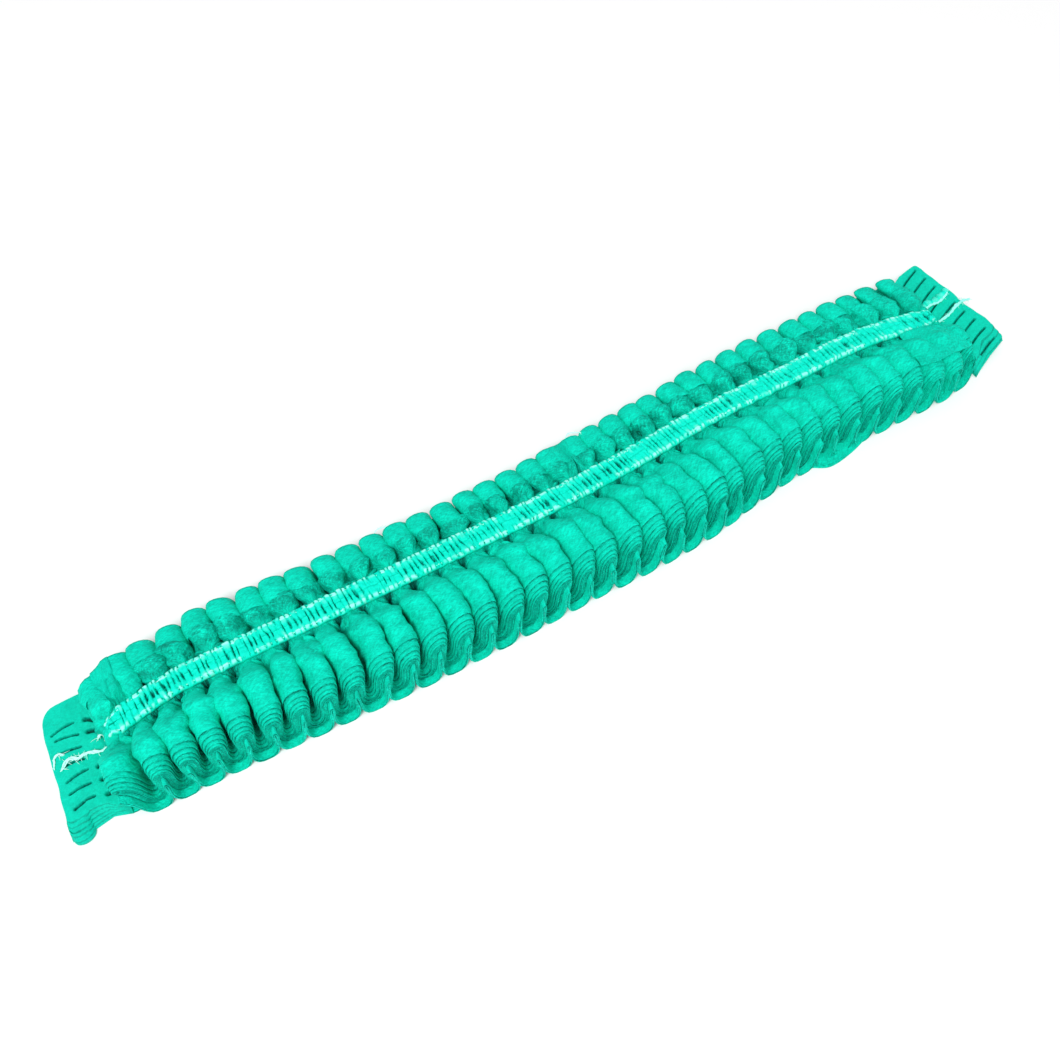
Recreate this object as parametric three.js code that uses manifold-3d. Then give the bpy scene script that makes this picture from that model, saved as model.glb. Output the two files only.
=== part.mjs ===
// Disposable hair cover cap, packed flat: one sheet of thin nonwoven cloth is folded lengthwise into
// a stack, and two elastics gather the stack into a strip of narrow upright pleats between two welded
// end tabs. Millimetres, +Z up, X along the strip, the layered front edges towards -Y, underside at Z 0.
import * as THREE from 'three';
import { mergeVertices } from 'three/addons/utils/BufferGeometryUtils.js';
import Module from 'manifold-3d';

// Driving dimensions
const PLEATS = 37; // crests from end to end
const PITCH = 7.4; // mean distance from crest to crest
const STACK_WIDTH = 43; // front edge to back edge of the pleated stack
const STACK_THICKNESS = 2.5; // all the folded layers together
const PLEAT_RISE = 6.6; // how far the stack climbs from a valley to a crest behind the hems
const FRONT_RISE = 11.6; // the same in front of the hems, where the pleats stand up taller
const HEM_WIDTH = 2.6; // one gathered hem, across the strip
const HEM_THICKNESS = 1.3;
const HEM_SEAT = 1.3; // how deep the elastics pull the crests in under the hems
const PINCH_REACH = 8; // how far in front of the hems the crests start to dip
const THREAD_DIAMETER = 0.8;
const THREAD_SIDES = 6;
const TAB_LENGTH = 11.6; // from the pleats to the outer edge
const TAB_WIDTH = 36;
const TAB_THICKNESS = 2;
const BAR_LENGTH = 7.2; // one pressed weld bar
const BAR_WIDTH = 0.8;
const BAR_DEPTH = 0.9;
const BAR_SPACING = 3.9;
const BAR_INSET = 3.2; // from the pleats to the bars
const CURL_DIAMETER = 4.2; // the rolled front corner of the left tab
const CURL_LENGTH = 5.5;
const CLEARANCE = 0.3; // between pieces that touch on the real cap

// Course of the strip, in even steps from the first pleat to the last. along is a share of
// PLEATS * PITCH; aside (the middle of the stack) and hem (the middle of the hem band, from the
// middle of the stack) are shares of STACK_WIDTH.
const COURSE = [
  { along: -0.479, aside: 0.082, hem: 0.1 },
  { along: -0.384, aside: 0.065, hem: 0.131 },
  { along: -0.285, aside: 0.027, hem: 0.165 },
  { along: -0.185, aside: -0.005, hem: 0.184 },
  { along: -0.085, aside: -0.013, hem: 0.19 },
  { along: 0.013, aside: 0.004, hem: 0.172 },
  { along: 0.111, aside: 0.042, hem: 0.16 },
  { along: 0.208, aside: 0.088, hem: 0.163 },
  { along: 0.308, aside: 0.122, hem: 0.135 },
  { along: 0.413, aside: 0.121, hem: 0.14 },
  { along: 0.517, aside: 0.12, hem: 0.04 },
];

// Sections of the stack from front to back. across is a share of STACK_WIDTH from the front edge,
// top is the share of STACK_THICKNESS that the layers still fill there (the upper layers end
// further back), rise is a share of FRONT_RISE or, in the back, of PLEAT_RISE, and set is how far a
// crest stands back from a valley, as a share of PITCH.
const FRONT_SECTIONS = [
  { across: 0, top: 0.16, rise: 0.92, set: 0.2 },
  { across: 0.06, top: 0.24, rise: 0.95, set: 0.15 },
  { across: 0.08, top: 0.62, rise: 0.96, set: 0.12 },
  { across: 0.15, top: 1, rise: 0.99, set: 0.06 },
];
const BACK_SECTIONS = [
  { across: 0.95, top: 1, rise: 0.99, set: 0 },
  { across: 1.01, top: 0.75, rise: 0.95, set: 0.04 },
];

// Crests that the hems pull over, as shares of PITCH at the front and the back edge.
const LEANING = [
  { crest: 0, front: -0.6, back: -0.3 },
  { crest: 1, front: -0.1, back: -0.2 },
  { crest: PLEATS - 1, front: 0.2, back: -0.1 },
];

// Where an edge of the stack draws in towards an end tab: side is -1 for the front edge, by is a
// share of STACK_WIDTH and over is how many pleats it takes.
const NARROWING = [
  { pleat: 0, side: -1, by: 0.06, over: 0.7 },
  { pleat: 0, side: 1, by: 0.11, over: 2.5 },
  { pleat: PLEATS, side: -1, by: 0.08, over: 1 },
  { pleat: PLEATS, side: 1, by: 0.04, over: 3 },
];

// Back lobes that run together: the valley between them is filled by this share of PLEAT_RISE.
const JOINED_LOBES = [
  { valley: 1, fill: 0.9 },
  { valley: 20, fill: 0.8 },
];

// End tabs. side is -1 at the left; length is a share of TAB_LENGTH; shift and slant move the tab
// back, as shares of TAB_WIDTH and of the way out; taper lengthens its front; corner rounds its back
// outer corner; tilt lifts its outer edge and arch its middle, as shares of the way out and of
// TAB_THICKNESS; bars is how many weld bars stand in a row, the front one at first.
const TABS = [
  {
    name: 'tab_left', side: -1, length: 1.18, shift: -0.03, slant: 0, taper: 0.11,
    corner: 0.22, tilt: -0.08, arch: 0.25, bars: 7, first: -0.31,
  },
  {
    name: 'tab_right', side: 1, length: 0.93, shift: 0.04, slant: 0.24, taper: 0.4,
    corner: 0, tilt: 0.3, arch: 0, bars: 8, first: -0.37,
  },
];

// Way of an elastic's tail down over the end pleat, from its crest: on is a share of PITCH and drop
// a share of PLEAT_RISE; then shares of the way out over the tab.
const TAIL_OVER_PLEAT = [
  { on: 0, drop: 0 },
  { on: 0.3, drop: -0.02 },
  { on: 0.48, drop: 0.12 },
  { on: 0.6, drop: 0.4 },
];
const TAIL_OVER_TAB = [0.22, 0.45, 0.7, 0.95];

const CLOTH = { color: 0x00cfae, roughness: 0.85, metalness: 0 };
const HEM_CLOTH = { color: 0x3ce9d2, roughness: 0.8, metalness: 0 };
const WELDED_CLOTH = { color: 0x00bf9d, roughness: 0.7, metalness: 0 };
const ELASTIC = { color: 0xd9fff6, roughness: 0.6, metalness: 0 };

// Where each lattice column meets the stack's upper and lower face, in pleats: more columns round
// the outside of each bend and fewer inside it.
const UPPER_TURNS = [0, 0.28, 0.4, 0.5, 0.6, 0.72];
const LOWER_TURNS = [-0.06, 0.06, 0.17, 0.42, 0.58, 0.83];

const TURN = 2 * Math.PI;
const bandHalfWidth = HEM_WIDTH + 2.5 * CLEARANCE + THREAD_DIAMETER;
const courseCurve = new THREE.CatmullRomCurve3(
  COURSE.map(({ along, aside, hem }) => (
    new THREE.Vector3(along * PLEATS * PITCH, aside * STACK_WIDTH, hem * STACK_WIDTH)
  )),
  false, 'catmullrom', 0.5,
);

/** Share of the climb from valley to crest. */
function climbAt(turn) {
  return (1 - Math.cos(TURN * turn)) / 2;
}

/** Face of the folded stack over its pleat, at a share of the climb and of the thickness. */
function foldedFace(turn, climb, rise, share) {
  const outward = new THREE.Vector2(
    -Math.PI * rise * Math.sin(TURN * turn),
    PITCH * (1 + Math.cos(2 * TURN * turn)),
  ).normalize().multiplyScalar((share - 0.5) * STACK_THICKNESS);
  return {
    on: Math.sin(2 * TURN * turn) / (2 * TURN) * PITCH + outward.x,
    height: STACK_THICKNESS / 2 + climb * rise + outward.y,
  };
}

/** How much the underside of each valley is pressed flat where the cap rests. */
function pressedFlat(rise) {
  return foldedFace(LOWER_TURNS[1], climbAt(LOWER_TURNS[1]), rise, 0).height;
}

// Rise of the crests under the hems, and the height that the hems lie on.
const dippedRise = PLEAT_RISE - HEM_SEAT;
const seatHeight = STACK_THICKNESS + dippedRise - pressedFlat(dippedRise);

/** Place and direction of the strip's middle, and the hem band's offset, at a number of pleats. */
function courseAt(pleat) {
  const share = THREE.MathUtils.clamp(pleat / PLEATS, 0, 1);
  const here = courseCurve.getPoint(share);
  const ahead = courseCurve.getTangent(share);
  const along = new THREE.Vector2(ahead.x, ahead.y).normalize();
  return { middle: new THREE.Vector2(here.x, here.y), along, hem: here.z };
}

/** Point of the strip: on past a number of pleats, aside of the middle, at a height. */
function stripPoint(pleat, on, aside, height) {
  const { middle, along } = courseAt(pleat);
  return new THREE.Vector3(
    middle.x + along.x * on - along.y * aside,
    middle.y + along.y * on + along.x * aside,
    height,
  );
}

/** Closed slab whose lattice corners (column, row, upper) are placed one by one. */
function shapedSlab(columns, rows, place) {
  const slab = new THREE.BoxGeometry(columns, rows, 1, columns, rows, 1);
  slab.translate(columns / 2, rows / 2, 0);
  slab.deleteAttribute('normal');
  slab.deleteAttribute('uv');
  const corners = slab.getAttribute('position');
  for (let i = 0; i < corners.count; i += 1) {
    const column = Math.round(corners.getX(i));
    const row = Math.round(corners.getY(i));
    const point = place(column, row, corners.getZ(i) > 0);
    corners.setXYZ(i, point.x, point.y, point.z);
  }
  return mergeVertices(slab, 1e-4);
}

/** Share of the way from the hem band to the front (negative) or back (positive) edge. */
function reachFromHem(aside, hem) {
  const edge = Math.sign(aside - hem) * STACK_WIDTH / 2;
  return Math.sign(aside - hem) * Math.min(1, (aside - hem) / (edge - hem));
}

/** How far a crest leans along the strip at a share of the way to the front or back edge. */
function crestLean(pleat, reach) {
  const crest = THREE.MathUtils.clamp(Math.floor(pleat), 0, PLEATS - 1);
  const drift = 0.05 * Math.sin(2.3 * crest) + 0.04 * Math.sin(5.1 * crest + 1);
  const row = LEANING.find((one) => one.crest === crest);
  const pulled = row ? (reach < 0 ? row.front : row.back) : 0;
  return (drift + pulled) * Math.abs(reach) * PITCH;
}

/** How far the stack's edge draws in towards an end tab. */
function drawnIn(pleat, reach) {
  const rows = NARROWING.filter((one) => one.side === Math.sign(reach));
  const shares = rows.map((one) => one.by * Math.max(0, 1 - Math.abs(pleat - one.pleat) / one.over));
  return Math.max(0, ...shares) * Math.abs(reach) * STACK_WIDTH;
}

/** How full a valley is behind the hems, where two back lobes run together. */
function valleyFill(pleat, reach) {
  const row = JOINED_LOBES.find((one) => Math.abs(pleat - one.valley) < 0.5);
  if (!row || reach <= 0) return 0;
  return row.fill * reach * Math.cos(Math.PI * (pleat - row.valley)) ** 2;
}

/** Point of the pleated stack: turn in pleats, aside of the middle, and share of the thickness. */
function stackPoint(turn, aside, section, hem, share) {
  const reach = reachFromHem(aside, hem);
  const climb = climbAt(turn);
  const filled = climb + (1 - climb) * valleyFill(turn, reach);
  const face = foldedFace(turn, filled, section.rise, share);
  const setBack = section.set * climb * PITCH + drawnIn(turn, reach);
  return stripPoint(
    THREE.MathUtils.clamp(turn, 0, PLEATS),
    face.on + crestLean(turn, reach) * climb ** 2,
    aside - Math.sign(reach) * setBack,
    Math.max(0, face.height - pressedFlat(section.rise)),
  );
}

/** All sections of the stack at one place: those beside the hems follow the hem band. */
function sectionsAt(hem) {
  const beside = [
    { aside: hem - bandHalfWidth - PINCH_REACH, top: 1, rise: FRONT_RISE, set: 0 },
    { aside: hem - bandHalfWidth, top: 1, rise: dippedRise, set: 0 },
    { aside: hem + bandHalfWidth, top: 1, rise: dippedRise, set: 0 },
  ];
  const fromMiddle = (fullRise) => (row) => (
    { ...row, aside: (row.across - 0.5) * STACK_WIDTH, rise: row.rise * fullRise }
  );
  return [
    ...FRONT_SECTIONS.map(fromMiddle(FRONT_RISE)),
    ...beside,
    ...BACK_SECTIONS.map(fromMiddle(PLEAT_RISE)),
  ];
}

/** The folded stack, bent up and down into pleats. */
function pleatedCrownGeometry() {
  const perPleat = UPPER_TURNS.length;
  const columns = perPleat * PLEATS;
  const rows = FRONT_SECTIONS.length + BACK_SECTIONS.length + 2;
  return shapedSlab(columns, rows, (column, row, upper) => {
    const turns = upper ? UPPER_TURNS : LOWER_TURNS;
    const end = column === 0 || column === columns;
    const turn = Math.floor(column / perPleat) + (end ? 0 : turns[column % perPleat]);
    const { hem } = courseAt(turn);
    const section = sectionsAt(hem)[row];
    return stackPoint(turn, section.aside, section, hem, upper ? section.top : 0);
  });
}

/** One gathered hem: a soft bar over the crests, with three small gathers to a pleat. */
function hemGeometry(side) {
  const ruffles = [0, 0.17, 0.08].map((share) => share * HEM_THICKNESS);
  const perPleat = ruffles.length;
  const inner = CLEARANCE / 2;
  return shapedSlab(perPleat * PLEATS - 2, 1, (column, row, upper) => {
    const pleat = (column + 1) / perPleat;
    const gather = ruffles[(column + 1) % perPleat];
    const across = row === (side > 0 ? 0 : 1) ? inner : inner + HEM_WIDTH - gather;
    const height = seatHeight + CLEARANCE + (upper ? HEM_THICKNESS - gather : 0);
    return stripPoint(pleat, 0, courseAt(pleat).hem + side * across, height);
  });
}

/** Round thread with one ring of corners at each point of its route. */
function threadGeometry(route, radius) {
  const last = route.length - 1;
  const thread = new THREE.CylinderGeometry(1, 1, last, THREAD_SIDES, last);
  thread.deleteAttribute('normal');
  thread.deleteAttribute('uv');
  const up = new THREE.Vector3(0, 0, 1);
  const corners = thread.getAttribute('position');
  for (let i = 0; i < corners.count; i += 1) {
    const ring = Math.round(corners.getY(i) + last / 2);
    const before = route[Math.max(ring - 1, 0)];
    const after = route[Math.min(ring + 1, last)];
    const ahead = after.clone().sub(before).normalize();
    const aside = ahead.clone().cross(up).normalize();
    const point = route[ring].clone()
      .addScaledVector(aside, radius * corners.getX(i))
      .addScaledVector(aside.cross(ahead), radius * corners.getZ(i));
    corners.setXYZ(i, point.x, point.y, point.z);
  }
  return mergeVertices(thread, 1e-4);
}

/** One elastic thread beside its hem, down over the end pleats and out over both tabs. */
function elasticGeometry(side) {
  const radius = THREAD_DIAMETER / 2;
  const offset = HEM_WIDTH + 1.5 * CLEARANCE + radius;
  const riding = seatHeight + CLEARANCE + radius;
  const route = [];
  for (let pleat = 1; pleat < PLEATS; pleat += 1) {
    route.push(stripPoint(pleat, 0, courseAt(pleat).hem + side * offset, riding));
  }
  for (const tab of TABS) {
    const pleat = tab.side < 0 ? 0.5 : PLEATS - 0.5;
    const hem = courseAt(pleat).hem + side * offset;
    const overShoulder = TAIL_OVER_PLEAT.map(({ on, drop }) => (
      stripPoint(pleat, tab.side * on * PITCH, hem, riding - drop * PLEAT_RISE)
    ));
    const overTab = TAIL_OVER_TAB.map((out) => {
      const point = tabPoint(tab, out, hem / TAB_WIDTH - tab.shift, 1);
      return point.setZ(point.z + 1.5 * CLEARANCE + radius);
    });
    const tail = [...overShoulder, ...overTab];
    if (tab.side < 0) route.unshift(...tail.reverse());
    else route.push(...tail);
  }
  return threadGeometry(route, radius);
}

/** Point of an end tab: share of the way out, share of the width across, share of the thickness. */
function tabPoint(tab, out, across, share) {
  const pleat = tab.side < 0 ? 0 : PLEATS;
  const rounded = tab.corner * Math.max(0, 3 * across - 0.5) ** 2;
  const length = tab.length * TAB_LENGTH * (1 - tab.taper * across - rounded);
  const on = CLEARANCE + length * out;
  const aside = TAB_WIDTH * (across + tab.shift) + tab.slant * TAB_LENGTH * out;
  const arched = tab.arch * (1 - 4 * across ** 2);
  const lift = (Math.max(0, tab.tilt) * TAB_LENGTH + arched * TAB_THICKNESS) * out;
  const dip = Math.min(0, tab.tilt) * TAB_LENGTH * out ** 2;
  const thickness = TAB_THICKNESS + (share > 0.5 ? dip : 0);
  return stripPoint(pleat, tab.side * on, aside, lift + share * thickness);
}

/** Closed three.js geometry as a solid that can be joined and cut. */
function asSolid(wasm, geometry) {
  const vertProperties = new Float32Array(geometry.getAttribute('position').array);
  const triVerts = new Uint32Array(geometry.index.array);
  return new wasm.Manifold(new wasm.Mesh({ numProp: 3, vertProperties, triVerts }));
}

/** Joined or cut solid as three.js geometry. */
function asGeometry(solid) {
  const { vertProperties, triVerts } = solid.getMesh();
  const geometry = new THREE.BufferGeometry();
  geometry.setAttribute('position', new THREE.BufferAttribute(vertProperties, 3));
  geometry.setIndex(new THREE.BufferAttribute(triVerts, 1));
  return geometry;
}

/** Plain geometry class made into welded triangles, turned and moved into place. */
function placed(geometry, matrix) {
  geometry.deleteAttribute('normal');
  geometry.deleteAttribute('uv');
  return mergeVertices(geometry.applyMatrix4(matrix), 1e-4);
}

/** An end tab with its row of pressed weld bars and, at the left, its rolled front corner. */
function tabGeometry(wasm, tab) {
  const slab = shapedSlab(4, 6, (column, row, upper) => {
    const out = tab.side < 0 ? 1 - column / 4 : column / 4;
    return tabPoint(tab, out, row / 6 - 0.5, upper ? 1 : 0);
  });
  let solid = asSolid(wasm, slab);
  for (let bar = 0; bar < tab.bars; bar += 1) {
    const across = tab.first + bar * BAR_SPACING / TAB_WIDTH;
    const [start, end] = [BAR_INSET, BAR_INSET + BAR_LENGTH].map((on) => (
      tabPoint(tab, on / TAB_LENGTH, across, 1)
    ));
    const along = end.clone().sub(start).normalize();
    const matrix = new THREE.Matrix4().makeBasis(
      along,
      new THREE.Vector3(-along.y, along.x, 0).normalize(),
      new THREE.Vector3(0, 0, 1),
    ).setPosition(start.clone().add(end).divideScalar(2));
    const press = new THREE.BoxGeometry(start.distanceTo(end), BAR_WIDTH, 2 * BAR_DEPTH);
    solid = solid.subtract(asSolid(wasm, placed(press, matrix)));
  }
  if (tab.side < 0) {
    const corner = tabPoint(tab, 1, -0.5, 0);
    const matrix = new THREE.Matrix4().setPosition(
      corner.x + CURL_DIAMETER / 2, corner.y + CURL_LENGTH / 3, CURL_DIAMETER / 2,
    );
    const roll = new THREE.CapsuleGeometry(CURL_DIAMETER / 2, CURL_LENGTH - CURL_DIAMETER, 3, 8);
    solid = solid.add(asSolid(wasm, placed(roll, matrix)));
  }
  return asGeometry(solid);
}

/** Named mesh with a finish of its own. */
function piece(name, geometry, finish) {
  const mesh = new THREE.Mesh(geometry, new THREE.MeshStandardMaterial(finish));
  mesh.name = name;
  mesh.geometry.computeVertexNormals();
  return mesh;
}

const wasm = await Module();
wasm.setup();

const cap = new THREE.Group();
cap.add(piece('pleated_crown', pleatedCrownGeometry(), CLOTH));
cap.add(piece('hem_front', hemGeometry(-1), HEM_CLOTH));
cap.add(piece('hem_back', hemGeometry(1), HEM_CLOTH));
cap.add(piece('elastic_front', elasticGeometry(-1), ELASTIC));
cap.add(piece('elastic_back', elasticGeometry(1), ELASTIC));
for (const tab of TABS) cap.add(piece(tab.name, tabGeometry(wasm, tab), WELDED_CLOTH));

// The origin is the middle of the whole cap's footprint, on the surface that it lies on.
const box = new THREE.Box3().setFromObject(cap);
const middle = box.getCenter(new THREE.Vector3());
cap.position.set(-middle.x, -middle.y, -box.min.z);
cap.updateMatrixWorld(true);

export default cap;
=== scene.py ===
"""Disposable hair cover cap, packed flat as a pleated strip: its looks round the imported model, in metres.

X runs along the strip, the layered front edges lie towards -Y, and the surface that it lies on is Z 0.
"""
import logging
import math
import random
from dataclasses import dataclass
from enum import Enum
from functools import cached_property
from typing import Callable, NamedTuple, Sequence

import bmesh
import bpy
from mathutils import Matrix, Vector, noise


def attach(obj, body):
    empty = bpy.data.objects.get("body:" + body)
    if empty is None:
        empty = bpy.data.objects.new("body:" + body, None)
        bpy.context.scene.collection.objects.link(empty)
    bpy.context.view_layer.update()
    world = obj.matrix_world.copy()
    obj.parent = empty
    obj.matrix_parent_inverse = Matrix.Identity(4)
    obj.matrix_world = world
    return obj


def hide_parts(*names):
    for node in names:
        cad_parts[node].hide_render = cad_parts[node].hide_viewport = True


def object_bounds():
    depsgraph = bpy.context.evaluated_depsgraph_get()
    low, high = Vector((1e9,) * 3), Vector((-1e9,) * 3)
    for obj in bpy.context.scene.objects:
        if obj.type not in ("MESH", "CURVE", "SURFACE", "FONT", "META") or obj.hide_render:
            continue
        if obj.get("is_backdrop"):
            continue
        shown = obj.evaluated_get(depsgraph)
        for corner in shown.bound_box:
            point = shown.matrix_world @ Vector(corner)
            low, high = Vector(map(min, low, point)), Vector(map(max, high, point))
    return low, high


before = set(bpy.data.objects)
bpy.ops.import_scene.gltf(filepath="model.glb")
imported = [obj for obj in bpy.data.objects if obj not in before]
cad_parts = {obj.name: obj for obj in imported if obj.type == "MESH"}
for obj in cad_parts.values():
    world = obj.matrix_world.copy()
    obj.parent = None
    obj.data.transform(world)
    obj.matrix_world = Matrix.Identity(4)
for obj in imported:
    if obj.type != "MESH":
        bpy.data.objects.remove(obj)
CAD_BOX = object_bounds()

TURN = 2 * math.pi
LOG = logging.getLogger("hair_cover_cap")
Colour = tuple[float, float, float]


# What a mesh hands to its material at each corner: the place on the flat cloth, painted shade for how deep
# it lies in a crease, and painted highlight on ridges and beads.
CLOTH_MAP, PAINTED_SHADE, PAINTED_HIGHLIGHT = "cloth", "painted_shade", "pale"


def clamp(share: float) -> float:
    """The value kept between 0 and 1."""
    return min(1.0, max(0.0, share))


def ease(share: float) -> float:
    """Smooth step from 0 to 1, level at both ends."""
    share = clamp(share)
    return share * share * (3 - 2 * share)


def wander(x: float, y: float = 0.0, z: float = 0.0) -> float:
    """Even, repeatable unevenness between about -1 and 1."""
    return noise.noise(Vector((x, y, z)))


def climb_at(turn: float) -> float:
    """Share of the way up from a valley, at each whole turn, to the crest halfway to the next."""
    return (1 - math.cos(TURN * turn)) / 2


def between(rows: Sequence[tuple[float, ...]], at: float) -> tuple[float, ...]:
    """Values of a table at a place between its rows.

    Args:
        rows: Rows in rising order of their first value.
        at: Place on the scale of that first value.

    Returns:
        The other values of the row, worked out between its neighbours.
    """
    if at <= rows[0][0]:
        return rows[0][1:]
    for low, high in zip(rows, rows[1:]):
        if at <= high[0]:
            share = (at - low[0]) / (high[0] - low[0])
            return tuple(a + (b - a) * share for a, b in zip(low[1:], high[1:]))
    return rows[-1][1:]


def curve_at(rows: Sequence[Vector], share: float) -> tuple[Vector, Vector]:
    """Point and direction on a smooth curve through evenly spaced rows.

    Args:
        rows: Points that the curve passes through.
        share: Share of the way from the first to the last.

    Returns:
        The point, and the slope there for each row's step.
    """
    steps = len(rows) - 1
    at = clamp(share) * steps
    i = min(int(at), steps - 1)
    at -= i
    b, c = rows[i], rows[i + 1]
    a = rows[i - 1] if i else 2 * b - c
    d = rows[i + 2] if i + 2 <= steps else 2 * c - b
    curve = (a * -1 + c, 2 * a - 5 * b + 4 * c - d, a * -1 + 3 * b - 3 * c + d)
    here = b + 0.5 * (curve[0] * at + curve[1] * at**2 + curve[2] * at**3)
    return here, curve[0] + 2 * curve[1] * at + 3 * curve[2] * at**2


def placed(name: str, data: bpy.types.ID) -> bpy.types.Object:
    """Makes an object of a mesh, a lamp or a camera and puts it in the scene."""
    made = bpy.data.objects.new(name, data)
    bpy.context.scene.collection.objects.link(made)
    return made


# Shaders


class Signal:
    """A value in a shader that can be written into sums and products."""

    def __init__(self, board: "Board", socket: bpy.types.NodeSocket) -> None:
        """Wraps one output socket of a board's node."""
        self.board = board
        self.socket = socket

    def _with(self, operation: str, *values: "Signal | float") -> "Signal":
        """Adds a Math node that takes these values."""
        return self.board.node("ShaderNodeMath", {"operation": operation}, dict(enumerate(values)))

    def __add__(self, other: "Signal | float") -> "Signal":
        """Sum of two values."""
        return self._with("ADD", self, other)

    def __radd__(self, other: float) -> "Signal":
        """Sum with a plain number on the left."""
        return self._with("ADD", other, self)

    def __sub__(self, other: "Signal | float") -> "Signal":
        """Difference of two values."""
        return self._with("SUBTRACT", self, other)

    def __rsub__(self, other: float) -> "Signal":
        """Difference with a plain number on the left."""
        return self._with("SUBTRACT", other, self)

    def __mul__(self, other: "Signal | float") -> "Signal":
        """Product of two values."""
        return self._with("MULTIPLY", self, other)

    def __rmul__(self, other: float) -> "Signal":
        """Product with a plain number on the left."""
        return self._with("MULTIPLY", other, self)

    def absolute(self) -> "Signal":
        """The value without its sign."""
        return self._with("ABSOLUTE", self)

    def clamped(self) -> "Signal":
        """The value kept between 0 and 1."""
        return self._with("MINIMUM", self._with("MAXIMUM", 0.0, self), 1.0)


class Board:
    """The nodes of one material.

    The sockets of the node that mixes two colours have numbers: its share, its colours and its result.
    """

    MIX_SHARE, MIX_LOW, MIX_HIGH, MIX_RESULT = 0, 6, 7, 2

    def __init__(self, name: str) -> None:
        """Makes an empty material."""
        self.material = bpy.data.materials.new(name)
        self.material.use_nodes = True
        self.tree = self.material.node_tree
        self.tree.nodes.clear()

    def node(
        self,
        kind: str,
        settings: dict[str, object] | None = None,
        sockets: dict[str | int, object] | None = None,
        out: str | int = 0,
    ) -> Signal | None:
        """Adds one node.

        Args:
            kind: The node's type.
            settings: Its settings, which are set first.
            sockets: Values or links of its input sockets, by name or number.
            out: Which output to return.

        Returns:
            The output as a signal, or None for a node that has none.
        """
        made = self.tree.nodes.new(kind)
        for name, value in (settings or {}).items():
            setattr(made, name, value)
        for name, value in (sockets or {}).items():
            if isinstance(value, Signal):
                self.tree.links.new(value.socket, made.inputs[name])
            else:
                made.inputs[name].default_value = value
        return Signal(self, made.outputs[out]) if made.outputs else None

    def tint(self, share: Signal | float, low: object, high: object) -> Signal:
        """Colour between two colours."""
        colours = {socket: (*value, 1.0) if isinstance(value, tuple) else value
                   for socket, value in ((self.MIX_LOW, low), (self.MIX_HIGH, high))}
        sockets = {self.MIX_SHARE: share, **colours}
        return self.node("ShaderNodeMix", {"data_type": "RGBA"}, sockets, out=self.MIX_RESULT)

    def cloth_map(self) -> Signal:
        """The place on the piece's own flat cloth."""
        return self.node("ShaderNodeUVMap", {"uv_map": CLOTH_MAP})

    def mark(self, name: str) -> Signal:
        """A value that the mesh has at each corner."""
        return self.node("ShaderNodeAttribute", {"attribute_name": name}, out="Fac")

    def speckle(self, place: Signal, scale: float, detail: float, rough: float, warp: float) -> Signal:
        """Cloud noise over a place, about 0.5 on average."""
        return self.node(
            "ShaderNodeTexNoise", {"noise_dimensions": "3D"},
            {"Vector": place, "Scale": scale, "Detail": detail, "Roughness": rough, "Distortion": warp},
        )

    def stretched(self, place: Signal, angle: float, factor: float) -> Signal:
        """The place turned by an angle and drawn out along one way by a factor."""
        turned = self.node("ShaderNodeMapping", None, {"Vector": place, "Rotation": (0.0, 0.0, angle)})
        return self.node("ShaderNodeMapping", None, {"Vector": turned, "Scale": (1 / factor, 1.0, 1.0)})

    def surface(self, sockets: dict[str, object]) -> bpy.types.Material:
        """Ends the material in a surface with these values, and returns it."""
        shader = self.node("ShaderNodeBsdfPrincipled", None, sockets)
        self.node("ShaderNodeOutputMaterial", None, {"Surface": shader})
        return self.material


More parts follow.
